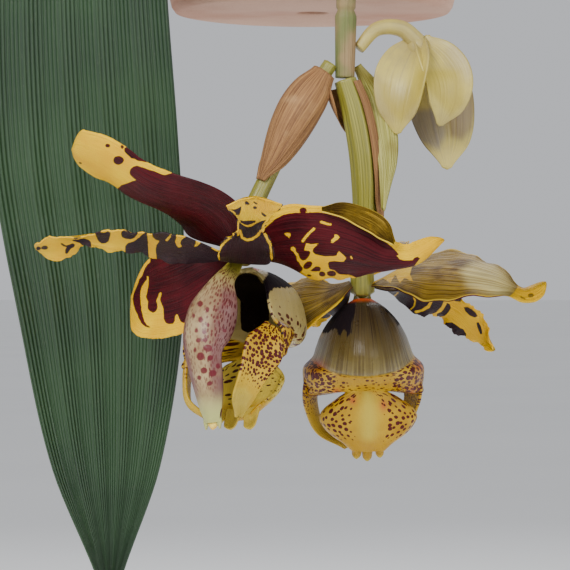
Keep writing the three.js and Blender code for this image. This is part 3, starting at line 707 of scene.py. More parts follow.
flowers = {
    "a": {
        "centre": np.array([-29.0, -122, -614]),
        "frame": flower_frame((-0.12, -0.38, -0.92), (0.54, 0.76, -0.36)),
        "stalk": [(6.25, -104.3, -536.5), (-6, -107, -555), (-16, -111, -576), (-24, -114.6, -593)],
        "girth": [2.8, 3, 3.2, 3.3, 3.6, 4.4],
        "lip_size": 0.95,
        "plate_shift": 0,
        "crown": 5.4,
        "teeth": [(-7.4, 9.8, 3.1), (1.2, 9.2, 3.3), (6.4, 6, 2)],
        "deep": 9,
        "horn_shift": {-1: -8, 1: 0},
        "horn_size": {-1: 1.3, 1: 1.1},
        "horn_top": {-1: 4, 1: 0},
    },
    "b": {
        "centre": np.array([19.5, -88, -626]),
        "frame": flower_frame((0.02, 0.36, -0.93), (0, -0.93, -0.36)),
        "stalk": [(12.1, -103, -542.9), (16, -103.5, -556), (19.1, -103, -574), (20.2, -99, -597)],
        "girth": [4.2, 5, 5.1, 4.8, 4.4, 4.7],
        "lip_size": 1,
        "plate_shift": 1.5,
        "crown": 0,
        "teeth": [(-4.4, 8.8, 1.9), (-0.4, 10, 2.0), (4.3, 8.4, 1.7)],
        "deep": 0,
        "horn_shift": {-1: 0, 1: 0},
        "horn_size": {-1: 1, 1: 1},
        "horn_top": {-1: 0, 1: 0},
    },
}
for flower in flowers.values():
    axis = flower["frame"][2]
    flower["stalk"] += [tuple(flower["centre"] - 13 * axis), tuple(flower["centre"] + 2 * axis)]

green_stalk = Finish("ovary_skin", "ovary", Roughness=0.42, Coat_Weight=0.15)
stalk_lines = green_stalk.fibres(60, 2, 3)
stalk_cloud = green_stalk.grain(60, 3)
stalk_colour = green_stalk.blend(stalk_lines.rise(0.35, 0.65), (0.16, 0.15, 0.014), (0.30, 0.27, 0.035))
stalk_colour = green_stalk.blend(stalk_cloud.rise(0.55, 0.75) * 0.5, stalk_colour, (0.36, 0.33, 0.08))
green_stalk.finish(stalk_colour, stalk_cloud * 0.2 + 0.32, stalk_lines, 0.0003)
for key, flower in flowers.items():
    def ribbed(t, angle, girth=flower["girth"]):
        return along(girth, t) * (1 + 0.05 * np.cos(6 * angle) + 0.012 * np.cos(18 * angle + 5 * t))

    round_body(flower["stalk"], ribbed, 90, 72)
    shaped(f"flower_{key}_ovary", green_stalk, f"flower_{key}_ovary")

# Dry bracts wrap the stalks: papery leaves, brown and finely veined, torn a little at their edges.
# The green one is younger and still soft.
def wrapped_bract(key, start, stop, radii, reach, opening, far=None, hug=0, flare=0):
    """A sheet round a flower's stalk, open in the direction given; it reaches so many radians round
    each side, or as far says on the second side"""
    curve = Spine(flowers[key]["stalk"])

    def skin(u, v):
        t = start + (stop - start) * u
        way = curve.way(t)
        back = -np.broadcast_to(np.array(opening, float), way.shape)
        back = unit(back - np.sum(back * way, -1, keepdims=True) * way)
        side = np.cross(back, way)
        angle = (v * np.where(v > 0, along(reach, u), along(far or reach, u)))[:, None]
        r = along(radii, u) - hug * step(-v, 0.3, 1) + flare * step(v, 0.4, 1) * (1 - step(u, 0, 0.3))
        r = (r + 0.12 * np.sin(v * 23 + u * 3))[:, None]
        return curve.at(t) + r * np.cos(angle) * back + r * np.sin(angle) * side

    return grid(skin, 60, 44)


bract, u, v = wrapped_bract("a", 0.05, 0.62, [4.6, 7.6, 8.6, 8.2, 7, 5.4, 4.2],
                            [1.9, 2.1, 2.1, 2, 1.8, 1.4, 0.5], (0.5, 0.8, 0))
thickened(bract, 0.7 - 0.35 * np.abs(v) ** 3)
shaped("bract_brown_a", dry, "bract_brown_a")
bract, u, v = wrapped_bract("b", 0.02, 0.68, [5.6, 6.5, 6.9, 7.1, 7.3, 7.3, 7.1],
                            [3.7, 3.4, 2.2, 1.3, 1.2, 1, 0.5], (-1, -0.15, 0),
                            [1.05, 1.02, 1.0, 1.0, 1.0, 0.95, 0.5], 0.9, 3.6)
thickened(bract, 0.7 - 0.35 * np.abs(v) ** 3)
shaped("bract_brown_b", dry, "bract_brown_b")

young = Finish("green_bract", "green_bract", Roughness=0.55)
young_veins = young.fibres(30, 1.2, 4)
young_colour = young.blend(young_veins.rise(0.35, 0.65), (0.24, 0.22, 0.02), (0.46, 0.43, 0.12))
young_colour = young.blend(young.grain(45, 2).rise(0.52, 0.68) * 0.8, young_colour, (0.17, 0.12, 0.003))
young.finish(young_colour, young_veins * 0.2 + 0.45, young_veins, 0.0004)


def towards(direction):
    """Keeps a blade's width in one direction all along it"""
    return lambda u, way: np.broadcast_to(np.array(direction, float), way.shape)


bract, u, v = blade([(17.6, -99.4, -536.5), (25, -98, -549), (28.2, -102.5, -563), (29.4, -106, -575),
                     (28.6, -107.5, -584), (27.4, -108, -595.4)],
                    towards((1, 0.35, 0)),
                    [1.6, 3.8, 5.3, 5.5, 4.1, 2.3, 0.6],
                    lambda u, v: 1.8 * v * v * (1 - 0.5 * u) + 0.12 * np.sin(v * 30), 56, 36)
thickened(bract, 0.9 - 0.3 * np.abs(v) ** 3)
shaped("bract_green", young, "bract_green")

# Sepals and petals are thick waxy blades, dark maroon and yellow inside, duller behind, with fine
# parallel veins. Their edges wave, and they are seated in a ring round the flower's neck.
seat_radius = 5.4
# Each blade's name, its angle round the neck, the height of its seat, its spine from there in mm, the
# way it faces, its half widths, its cup in mm, and how many waves its edges have and how high
tepals = {
    "a": [
        ("dorsal_sepal", 180, -2.6, [(-15, -8, 16.3), (-36.5, -12, 24.4), (-51.2, -14, 34.2),
                                     (-65.5, -12, 42.2)],
         (-0.45, -0.46, -0.76), [5, 21, 20.5, 16, 14.2, 14.4, 13], -3, (1, 1.5)),
        ("lateral_sepal_left", 60, -2.6, [(-22, 19.5, -11.6), (-34.5, 38, -15.4), (-46.6, 58, -15.8)],
         (-0.6, -0.75, 0.2), [3.4, 13, 18.4, 19.2, 18.2, 16.6, 13.4], 3, (1, 0.6)),
        ("lateral_sepal_right", -60, -2.6, [(22, -14, 2.6), (40, -22, 1.2), (56, -25, -3), (67, -24, -1.7),
                                            (78, -20, 6.5)],
         (0, -0.76, -0.65), [10, 15.5, 18.5, 19.8, 20, 19, 15.8, 11.6, 7.8, 5.8, 5.4, 4.2, 2], -5,
         (2, 1.2)),
        ("petal_left", 120, 0.4, [(-14, 2, 1.6), (-24.5, 4, 3.8), (-36.5, 8, 6), (-48.7, 12, 7.5),
                                  (-57, 15, 7.8), (-64.3, 18, 7.8), (-71, 21, 5.8), (-77, 23.5, 4.3),
                                  (-83.5, 26, 3.8)],
         (-0.1, -0.5, -0.86), [3, 9, 11, 10.3, 8.2, 6.4, 4, 7.6, 5], 1.5, (3, 0.8)),
        ("petal_front", -120, 0.4, [(1, -14, -2.2), (2.4, -28, 2.8), (3.2, -44, 9), (5, -60, 15),
                                    (6.2, -70, 21)],
         (0, -0.55, -0.8), [3, 6, 8.4, 10, 10.7, 10.5, 9.9, 8.8, 6.8, 5.1, 4.7, 5.4, 7.2, 9.8, 9.4], 1.5,
         (3, 1.4)),
    ],
    "b": [
        ("dorsal_sepal", 180, -2.6, [(0, 22, 10), (1, 42, 16), (2, 60, 17), (2, 76, 14)],
         (0, 0.2, -0.97), [3.4, 13, 18, 20, 18, 13, 5], -3, (1, 1.5)),
        ("lateral_sepal_right", 60, -2.6, [(20, -12, 6.4), (36, -20, 6.4), (52, -25, 3.2), (63, -26, -1.2),
                                           (72, -26, 1.8)],
         (0.1, 0.45, -0.88), [3.4, 8.5, 13, 16.5, 19, 20, 20, 18, 15, 11, 3.4, 5.2, 4.8], 2, (2, 1.5)),
        ("lateral_sepal_left", -60, -2.6, [(-14, -3, -3.5), (-29, 5, -8), (-45, 19, -11), (-60, 37, -13)],
         (0.1, 0.75, -0.65), [3.4, 12, 18, 19, 16, 11, 4], 2, (2, 1.5)),
        ("petal_right", 120, 0.4, [(18, 7, -2.4), (29.5, 12, -5), (39, 16, -9), (46.5, 18, -16),
                                   (55, 18, -26)],
         (0.2, -0.6, -0.75), [2.6, 6, 7.4, 7.8, 7.4, 5.4, 1.2], 1.5, (3, 2)),
        ("petal_left", -120, 0.4, [(-12, 12, -4), (-20, 26, -8), (-26, 42, -12), (-30, 56, -18)],
         (-0.3, -0.5, -0.8), [2.6, 7, 9, 9, 7, 5, 1.6], 1.5, (3, 2.4)),
    ],
}


def outline(corners, x, y):
    """How far inside a closed outline each place is, in pixels; outside it is negative"""
    distance = np.full(len(x), 1e9)
    within = np.zeros(len(x), bool)
    for (ax, ay), (bx, by) in zip(corners, corners[1:] + corners[:1]):
        ex, ey = bx - ax, by - ay
        t = np.clip(((x - ax) * ex + (y - ay) * ey) / (ex * ex + ey * ey), 0, 1)
        distance = np.minimum(distance, np.hypot(x - ax - t * ex, y - ay - t * ey))
        if ey:
            within ^= ((ay > y) != (by > y)) & (x < ax + (y - ay) * ex / ey)
    return np.where(within, distance, -distance)


def streak(half_width, points, x, y):
    distance = np.full(len(x), 1e9)
    for (ax, ay), (bx, by) in zip(points, points[1:]):
        ex, ey = bx - ax, by - ay
        t = np.clip(((x - ax) * ex + (y - ay) * ey) / (ex * ex + ey * ey), 0, 1)
        distance = np.minimum(distance, np.hypot(x - ax - t * ex, y - ay - t * ey))
    return half_width - distance


def spot(middle_x, middle_y, wide, high, x, y):
    return (1 - np.hypot((x - middle_x) / wide, (y - middle_y) / high)) * min(wide, high)


def painted(marks, x, y):
    """Dark ground with marks laid on it in turn, each in pixels of the picture"""
    field = np.full(len(x), 4.0)
    for colour, *mark in marks:
        if isinstance(mark[0], list):
            shape = outline(mark[0], x, y)
        elif isinstance(mark[1], list):
            shape = streak(mark[0], mark[1], x, y)
        else:
            shape = spot(*mark, x, y)
        field = np.minimum(field, -shape) if colour == "yellow" else np.maximum(field, shape)
    return field


# Marks seen on each blade, in pixels of the picture: outlines, streaks (half width, line) and spots
# (middle, half width, half height).
marks = {
    ("a", "dorsal_sepal"): [
        ("yellow", [(50, 110), (130, 130), (175, 172), (166, 174.5), (163, 174.5), (155, 171), (150, 169.5),
                    (145, 167.5), (140, 166), (137.5, 165), (134, 166), (131, 168), (130, 171), (131, 174),
                    (134, 177), (137.5, 179), (133, 180), (128, 182), (122, 184), (116, 190), (50, 190)]),
        ("dark", [(124.5, 150), (125, 147.5), (128, 147), (134, 142), (156, 160), (152, 164), (147, 162.5),
                  (142, 161), (138, 160.5), (135, 158.5), (131, 158), (129.5, 156), (127, 154), (125, 152)]),
        ("dark", 108.3, 145, 2.4, 1.6), ("dark", 122.3, 146.7, 1.4, 1.9), ("dark", 119, 159.5, 5.2, 4.2),
        ("dark", 81, 162, 1.8, 1.2),
    ],
    ("a", "petal_left"): [
        ("yellow", [(20, 200), (149, 215), (157, 229.5), (151, 230.5), (152.5, 235), (156, 238.5),
                    (160, 239.5), (157, 244), (156.3, 248), (156.3, 253), (157.5, 262), (20, 290)]),
        ("yellow", 0.9, [(152, 226), (164, 229.5), (172, 231.5), (170, 236), (167, 239)]),
        ("yellow", [(174, 225), (186, 231), (188.5, 236), (184, 237), (181.5, 239), (180.5, 242),
                    (182.5, 245), (179, 246.3), (177, 244), (175.5, 240), (176.5, 237)]),
        ("yellow", [(186, 230), (200, 235), (212, 242), (219, 251), (214, 249.5), (209, 246), (205, 243.5),
                    (201, 242), (199, 244), (195.5, 245.8), (194, 245.5), (196, 243), (196.5, 241),
                    (194, 239.5)]),
        ("dark", 38.5, 247, 2.2, 1.8), ("dark", 45, 246.2, 3.4, 2),
        ("dark", [(60.5, 241.3), (63, 242), (66, 244), (70, 243), (73, 241.5), (75.5, 243.5), (74.5, 246),
                  (71, 247.5), (69, 251), (67, 253.5), (65, 252.3), (65.5, 248.5), (67, 246), (63, 244.7),
                  (60.8, 243)]),
        ("dark", [(72, 238.3), (78, 237.6), (84, 236.8), (89, 238.3), (91.5, 241), (91.8, 247), (86, 247),
                  (82, 244), (80, 242), (76, 240.5), (72.5, 239.5)]),
        ("dark", [(94.5, 231.5), (97, 230.5), (100, 231.7), (105, 231.7), (108, 230.5), (111.2, 231.5),
                  (110.5, 235), (109, 240), (106, 242.3), (102, 242.5), (99, 240), (97, 236), (95, 233.5)]),
        ("dark", [(121.5, 231), (124, 229.5), (128, 231.3), (133, 231.3), (137.5, 229.8), (138.3, 232.5),
                  (135, 236), (131, 238), (126, 237.5), (122.5, 235.5), (121.3, 233)]),
        ("dark", [(125.5, 250.5), (125.5, 245), (128, 242), (133, 240.5), (137, 238), (140, 235.5),
                  (143, 233), (146, 232.5), (148, 235), (148.5, 242), (149, 250), (149.5, 262),
                  (125.5, 262)]),
    ],
    ("a", "lateral_sepal_left"): [
        ("yellow", [(100, 235), (148, 235), (150.8, 256), (151, 262), (148, 264.5), (145, 270), (143, 276),
                    (140, 279.5), (139.5, 283), (137.5, 288), (135, 293), (134.3, 299), (135, 306),
                    (137, 312), (140, 319), (143, 324.5), (146, 327), (150, 328.3), (153, 327.8),
                    (153, 355), (100, 355)]),
        ("yellow", [(148, 276.3), (149.7, 276.5), (150, 280), (149.5, 286), (148.5, 292), (147.5, 297),
                    (149.5, 302), (149, 305.5), (149, 309), (151, 311.5), (154, 313), (157, 311.5),
                    (159, 308), (158.5, 303.5), (157.5, 301), (159.5, 297), (160.5, 293), (162.5, 292.3),
                    (163.6, 294), (162, 297.5), (161.3, 300.5), (163, 304), (164.5, 309), (165, 315),
                    (165, 320), (167, 323.5), (170, 324.6), (174, 324), (176, 321), (176, 317),
                    (177.5, 314.5), (179, 315), (180, 319), (182, 322.5), (185, 323.3), (200, 326),
                    (200, 355), (150, 355), (153, 328), (150.5, 326.8), (147.5, 325.5), (145.5, 322),
                    (144, 317), (142.8, 311), (142, 304), (141.7, 297), (142, 291), (143.5, 286),
                    (146, 282), (148.5, 279.3)]),
    ],
    ("a", "petal_front"): [
        ("yellow", [(222, 180), (282, 180), (282, 205), (272, 217), (266, 219.5), (262, 220), (257, 222),
                    (252, 224.5), (247, 225.3), (243, 224), (240, 221.5), (238, 219), (235.5, 214.5),
                    (230, 210.5), (222, 208)]),
        ("dark", [(239.3, 218.7), (243, 219.5), (248, 219.2), (252, 218.8), (255.7, 218.8), (256, 220.7),
                  (252, 222.2), (248, 223.6), (244, 223), (241, 221.7)]),
        ("dark", [(226, 208.3), (233, 208.7), (236, 208), (241, 205), (240.5, 210), (239, 214), (236, 214),
                  (234, 211)]),
        ("dark", [(244.3, 199.5), (247.2, 200), (250.3, 203.2), (245, 203.2)]),
        ("dark", 0.8, [(253.8, 200.4), (257, 202.4)]), ("dark", 255, 206, 2.2, 1.5),
        ("dark", [(260.5, 210), (263, 211), (267, 215.3), (265, 216), (262, 213.5)]),
        ("yellow", 1.3, [(239.5, 230), (242, 236), (247, 238.4), (252, 237.5), (257, 234.5), (262.5, 230)]),
        ("yellow", 0.8, [(238.5, 221), (237.5, 228), (237.3, 234)]),
        ("yellow", 1.1, [(268, 219), (264, 225), (263, 230), (266, 236), (270, 243), (271.5, 250),
                         (272, 259)]),
        ("yellow", 0.9, [(234, 232), (232, 236), (226, 240), (221, 246), (218, 253), (219, 259)]),
    ],
    ("a", "lateral_sepal_right"): [
        ("yellow", [(262, 230), (268, 225), (275, 219), (283, 214.5), (290, 212.8), (297, 212.2),
                    (303, 212.6), (310, 212), (318, 212), (326, 213), (334, 214.2), (341, 216),
                    (347, 217.5), (352, 219),
                    (357, 222.5), (363, 227), (369, 231), (375, 235), (381, 239.5), (387, 243.5),
                    (391, 246.5), (394, 249.5), (397, 253), (398.5, 255), (396, 255.8), (398, 257.5),
                    (399, 259.2), (403, 260), (408, 259.8), (412, 259.5), (414, 257.5), (417, 256.5),
                    (419.5, 258), (416, 263), (430, 275), (470, 250), (470, 180), (250, 180), (250, 228)]),
        ("yellow", 1.3, [(420, 259), (413, 267), (407, 269.5), (400, 271.5), (394, 272), (388, 271.8),
                         (382, 275), (376, 277), (370, 278.5), (364, 279.7), (358, 279.3), (353, 277),
                         (348, 275)]),
        ("yellow", [(420, 262), (413, 267), (400, 271.5), (388, 272), (370, 278), (358, 279), (350, 276),
                    (350, 300), (430, 300)]),
        ("dark", 303.5, 210, 3.7, 2.8),
        ("yellow", 1.1, [(321, 221.3), (325, 222.5), (329, 223.7), (331.3, 223.7)]),
        ("yellow", [(284.5, 232.6), (288, 231.7), (291, 231.7), (291.3, 235), (290, 237.5), (288.5, 235.7),
                    (286, 234.7)]),
        ("yellow", 1.4, [(314.5, 228), (310, 232), (306, 236.5), (303.3, 240)]),
        ("yellow", [(331, 241.5), (332, 238.7), (335, 236.5), (335, 234), (337.2, 234), (340.5, 236.5),
                    (338, 238.7), (335.5, 240), (333.5, 242.4)]),
        ("yellow", [(304.5, 249), (306, 245), (307, 242.2), (311, 243.3), (316, 242.8), (319.5, 242.2),
                    (316, 245.5), (314, 247.7), (313.5, 250.5), (316, 253), (321, 254.5), (327, 255),
                    (333, 255), (337, 254.5), (338, 252), (339.5, 250.2), (342, 252.3), (345, 254.8),
                    (347.3, 257), (344, 260.3), (340, 260.3), (334, 259.8), (330, 260.3), (328.5, 262),
                    (329, 265), (330, 268), (333, 268.5), (336, 270), (338, 272.5), (341, 273.5),
                    (346, 273.5), (351, 276), (357, 278.3), (364, 278.8), (364, 300), (285, 300),
                    (288, 275), (293, 273), (296, 273.5), (300, 272), (303, 269), (303, 266.5), (301, 264),
                    (300, 261), (297.5, 259.5), (297.5, 256), (295.5, 253), (293.7, 250), (291.5, 249),
                    (291.7, 246.2), (294, 245.2), (296.5, 247.5), (296.5, 250.5), (299, 252.5),
                    (300, 256), (301.5, 258.5), (304, 259.3), (307, 258), (309.5, 255), (311, 251.5),
                    (310.5, 249.5), (308, 249.5)]),
        ("dark", [(303.5, 265.5), (305, 262.5), (308, 260), (311.5, 260), (313, 262), (311.5, 265.5),
                  (308, 268), (304.5, 267.5)]),
        ("dark", [(310.5, 270), (313, 267.5), (316, 265), (320, 265.5), (321.8, 267.5), (319.5, 270),
                  (315, 270.3)]),
        ("dark", 322.5, 273, 3.2, 2.7), ("dark", 332, 272.5, 4.6, 3), ("dark", 309.5, 274.7, 2.2, 1.2),
        ("yellow", 0.8, [(351.3, 255.5), (352.5, 257.5)]),
    ],
    ("b", "petal_right"): [
        ("yellow", 1.4, [(431.5, 294), (431, 300), (428, 306), (422, 310), (416, 311.7)]),
        ("yellow", [(440, 290), (450, 288), (475, 288), (510, 340), (515, 365), (440, 365), (426, 322),
                    (430, 314), (436, 311.5), (441, 306), (444, 300), (440, 297)]),
        ("dark", [(447, 301.5), (450, 303), (451, 307), (449, 311), (445, 315), (440, 316.3),
                  (436.5, 315.5), (437, 313), (441, 311), (444, 307)]),
        ("dark", [(453, 296.3), (456, 295.8), (460, 296), (462.5, 298), (461, 300.7), (456, 300.3),
                  (453.5, 298.7)]),
        ("dark", [(464, 306), (468, 306), (472, 308.5), (476, 312), (477.5, 315.5), (475, 316.7),
                  (470, 314.7), (466, 310.5)]),
        ("dark", [(477, 322), (479, 321.5), (481, 325), (482.5, 330), (483, 333), (481, 334.3),
                  (479, 330), (477.5, 326)]),
        ("dark", [(446, 322.5), (452, 322), (456, 325), (460, 328), (463, 329), (466, 333), (465.5, 338),
                  (461, 345), (440, 335)]),
        ("yellow", 0.7, [(412, 292), (415, 300), (414, 306), (410, 310)]),
        ("yellow", 0.6, [(398, 291), (393, 298), (388, 303), (384, 303.5)]),
    ],
    ("b", "lateral_sepal_right"): [
        ("yellow", [(372, 268), (415, 262), (410, 276), (414, 283), (405, 279), (400, 284), (396, 276),
                    (391, 284), (384, 280), (372, 286)]),
        ("yellow", [(519, 270), (560, 270), (560, 310), (505, 310), (505, 299), (512, 294), (517, 289)]),
        ("dark", 531, 296, 3, 1.9), ("dark", 0.7, [(521, 297), (525, 299)]),
    ],
}


def wild_marks(u, v, seed):
    """Blotches for a blade that the picture doesn't show: dark below, yellow with spots to its tip"""
    field = np.empty(len(u))
    for index, (along_it, across) in enumerate(zip(u, v)):
        place = Vector((along_it * 5, across * 2.2, seed))
        ground = 2.2 - 7 * max(0, along_it - 0.58) * 3 - 5 * max(0, abs(across) - 0.8) * 4
        ground += 3.2 * noise.noise(place * 1.3) + 1.2 * noise.noise(place * 3.1)
        spots = 1.6 - 6 * noise.voronoi(place * 1.5)[0][0]
        field[index] = max(ground, spots)
    return field


def tepal_finish(name, slot, inner):
    glossy = slot == "petal" and inner
    skin = Finish(name, slot, Specular_IOR_Level=0.25 if glossy else 0.12 if inner else 0.05)
    veins = skin.fibres(54, 2.4, 2).rise(0.36, 0.62)
    cloud = skin.grain(80, 4)
    pebble = skin.grain(700, 3)
    dark = (skin.field("dark") + (skin.grain(300, 3) - 0.5) * 1.4).rise(-0.35, 0.35)
    if glossy:
        deep, bright, vein_red = (0.008, 0.003, 0.006), (0.020, 0.005, 0.010), (0.05, 0.006, 0.014)
    else:
        deep, bright, vein_red = (0.020, 0.002, 0.004), (0.06, 0.004, 0.007), (0.14, 0.008, 0.014)
    maroon = skin.blend(cloud.rise(0.3, 0.7), deep, bright)
    maroon = skin.blend(veins * 0.3, maroon, vein_red)
    yellow = skin.blend(cloud.rise(0.3, 0.75), (0.78, 0.41, 0.0), (0.86, 0.54, 0.0))
    if inner:
        colour = skin.blend(dark, yellow, maroon)
    else:
        olive = skin.blend(veins, (0.11, 0.06, 0.004), (0.29, 0.18, 0.02))
        brown = skin.blend(veins * 0.7, (0.045, 0.02, 0.004), (0.17, 0.095, 0.016))
        shaded = skin.blend(cloud.rise(0.42, 0.62), olive, brown)
        behind = skin.blend(dark, skin.blend(0.7, olive, yellow), shaded)
        # Behind one sepal's tip the cream field lays on its pale cream colour together with a painted
        # highlight
        cream = skin.blend(veins, (0.32, 0.24, 0.07), (0.52, 0.43, 0.17))
        behind = skin.blend(skin.field("cream") * dark * 0.85, behind, cream)
        across = skin.add("ShaderNodeSeparateXYZ", {}, [skin.add("ShaderNodeUVMap")])
        edge = (across * 2 - 1).size()
        colour = skin.blend(edge.rise(0.94, 0.985), behind, (0.62, 0.42, 0.04))
    height = veins * (0.3 if inner else 0.7) + pebble * 0.35 + cloud * 0.4
    return skin.finish(colour, pebble * 0.15 + cloud * 0.2 + 0.25, height, 0.0005)


sepal_inside = tepal_finish("sepal_inside", "sepal", True)
sepal_outside = tepal_finish("sepal_outside", "sepal", False)
petal_inside = tepal_finish("petal_inside", "petal", True)
petal_outside = tepal_finish("petal_outside", "petal", False)


def seen_at(piece):
    """Where the corners of a piece are in the picture, in pixels across and down"""
    place = corners_of(piece).T
    return picture_x(place), picture_y(place)


# The share of its length in which each blade turns from its seat to the way it faces, and over which
# its tip is rounded, where these differ from the rest
turn_share, turn_shares = 0.35, {("a", "lateral_sepal_right"): 0.2}
tip_share, tip_shares = 0.06, {
    ("a", "dorsal_sepal"): 0.045, ("a", "lateral_sepal_left"): 0.3, ("a", "petal_front"): 0.03,
    ("b", "lateral_sepal_right"): 0.09, ("b", "petal_right"): 0.03}
# The pale place behind one sepal's tip, in pixels of the picture: its own cream colour with a painted
# highlight laid into it
pale_and_highlit_sepal = ("b", "lateral_sepal_right")
pale_and_highlit_back = [(462, 272), (474, 264), (492, 266), (503, 274), (512, 288), (505, 300), (484, 292),
             (468, 286)]
# One sepal's upper margin is turned back on itself: the line of the fold from the flower's neck, in mm
folded = ("a", "lateral_sepal_right")
turned_margin = [(31, -31, 17.4), (39, -31, 17.2), (45.8, -31, 14.6), (52, -30.5, 11.4),
                 (56.2, -30.5, 7), (58.4, -30.5, 4.4)]
for key, flower in flowers.items():
    for seed, tepal in enumerate(tepals[key]):
        name, angle, seat_height, route, facing, widths, cup, (waves, wave_height) = tepal
        turn = math.radians(angle)
        seat = np.array([math.sin(turn) * seat_radius, math.cos(turn) * seat_radius, seat_height])
        seat = seat @ flower["frame"]
        facing = unit(np.array(facing, float))

        def tepal_side(u, way):
            turn = step(u, 0, turn_shares.get((key, name), turn_share))[:, None]
            return np.cross(way, flower["frame"][2] * (1 - turn) + facing * turn)

        def tepal_lift(u, v):
            wave = np.sin(2 * math.pi * waves * u + np.where(v > 0, 0.6, 2.4))
            frill = 0.5 * np.sin(2 * math.pi * (3.3 * waves * u + 0.3 * seed) + np.where(v > 0, 0, 1.7))
            grown = step(u, 0.05, 0.4)
            return grown * (cup * v * v + (wave_height * wave + frill) * np.abs(v) ** 3)

        points = [seat + flower["centre"]] + [np.array(p) + flower["centre"] for p in route]
        kind = name.split("_")[0]
        steps, strips = (140, 60) if (key, name) in marks else (90, 44)
        tip, ragged = tip_shares.get((key, name), tip_share), 0.32 if kind == "petal" else 0.08
        piece, u, v = blade(points, tepal_side, widths, tepal_lift, steps, strips, tip, ragged)
        x, y = seen_at(piece)
        if (key, name) in marks:
            dark = painted(marks[key, name], x, y)
        else:
            dark = wild_marks(u, v, seed * 7.3 + 2)
        # Cream behind this one sepal's tip: its own pale colour and a painted highlight
        cream = step(outline(pale_and_highlit_back, x, y), -7, 5) if (key, name) == pale_and_highlit_sepal else 0
        paint(piece, dark=dark, cream=cream)
        finish = [petal_inside, petal_outside] if kind == "petal" else [sepal_inside, sepal_outside]
        thickened(piece, 1.1 * (1.25 - 0.75 * v * v), finish)
        if (key, name) == folded:
            points = [np.array(p) + flower["centre"] for p in turned_margin]
            fold, u, v = blade(points, lambda u, way: np.cross(way, [0.25, -0.8, 0.5]),
                               [1.2, 3.2, 4.4, 5, 4.2, 1], lambda u, v: 0.8 * v * v, 70, 20)
            paint(fold, dark=0.42, cream=0)
            thickened(fold, 0.9 - 0.3 * v * v, [sepal_outside, sepal_outside])
            merged([piece, fold])
        shaped(f"flower_{key}_{name}", finish, f"flower_{key}_{name}")

# The lip is one thick waxy piece: a deep sac under the flower, dark inside and at its top, then a
# square-shouldered band with a horn at each side, and a lobed plate that ends in three teeth.
lip_keel = [(5, 3.8), (14, 4), (27, 8.5), (35, 16.5), (33.5, 23.3), (28, 26.2), (24.3, 28.4), (21.7, 32),
            (19, 35.2), (17, 37.3), (16.6, 38.2), (17, 41.2), (17.5, 45.5), (17.2, 50), (16.5, 54.5),
            (15.2, 59), (13.8, 63.5), (12.5, 67)]
lip_chord = [(3.4, 4.6), (3, 9), (1, 14.5), (-1, 21), (-1, 26.5), (0.5, 30.2), (1.5, 34), (2, 38.5),
             (2.5, 42), (3, 46), (15, 38.8), (13.5, 43.5), (12.5, 48), (12, 51.5), (11.5, 55), (11.2, 59),
             (10.8, 63), (10.4, 66.5)]
lip_half_widths = [3.6, 9.3, 13.5, 16.8, 18.8, 20.3, 24, 24.3, 23.8, 22.6, 7, 12, 17.3, 19.4, 18.6, 15.6,
                   10.5, 7]
sac_rim, shoulder, sac_foot, waist, inside_end, last_row = 4.3, 5.4, 6, 9.8, 9.9, 17
horn_route = [(20, 5, 31), (21, 2, 42), (20.4, 0, 53), (17, 0, 63), (7, 3, 70)]
horn_widths = [4.5, 6.6, 4.8, 3.4, 1]
near_horn_root = 2.6

# Dark places on the lips, in pixels of the picture: on the sac's outside, and down its throat.
sac_stains = {
    "a": [[(250, 240), (330, 240), (330, 292), (300, 291), (290, 288.7), (273, 289), (269, 293), (266, 300),
           (262, 285)]],
    "b": [[(322, 318), (326, 300), (357, 298), (356, 315), (353, 325), (352.5, 334), (349, 338), (346, 331),
           (341, 336), (337, 329), (330, 333), (324, 334)],
          [(379, 298), (402, 300), (412, 325), (407, 331), (402, 324), (396, 326), (391, 318), (384, 313)]],
}
throat = [(218, 284), (224, 280), (236, 275), (250, 268), (264, 262), (270, 283), (268, 300), (268, 320),
          (262, 330), (257, 343), (251, 342), (253, 331), (246, 333), (240, 330), (239, 318), (239, 300),
          (234, 294), (226, 291), (219, 289)]
# The pale rim and ledge of one lip's mouth, the part of its near horn without spots, and red smudges
mouth_rim = [(236, 261), (266, 261), (267, 276), (262, 282), (257, 273), (250, 270.5), (243, 270.5),
             (236, 274)]
mouth_ledge = [(226, 331), (240, 331), (246, 334), (252, 333), (250, 342), (244, 346), (236, 342),
               (226, 338)]
near_horn_clear = [(220, 390), (234, 384), (246, 384), (255, 394), (250, 408), (246, 436), (218, 436)]
red_smudges = [(337, 389, 5, 3), (353, 400, 4, 4), (383, 405, 4, 5), (418, 366, 6, 5), (318, 366, 8, 6),
               (411, 394, 4, 7)]


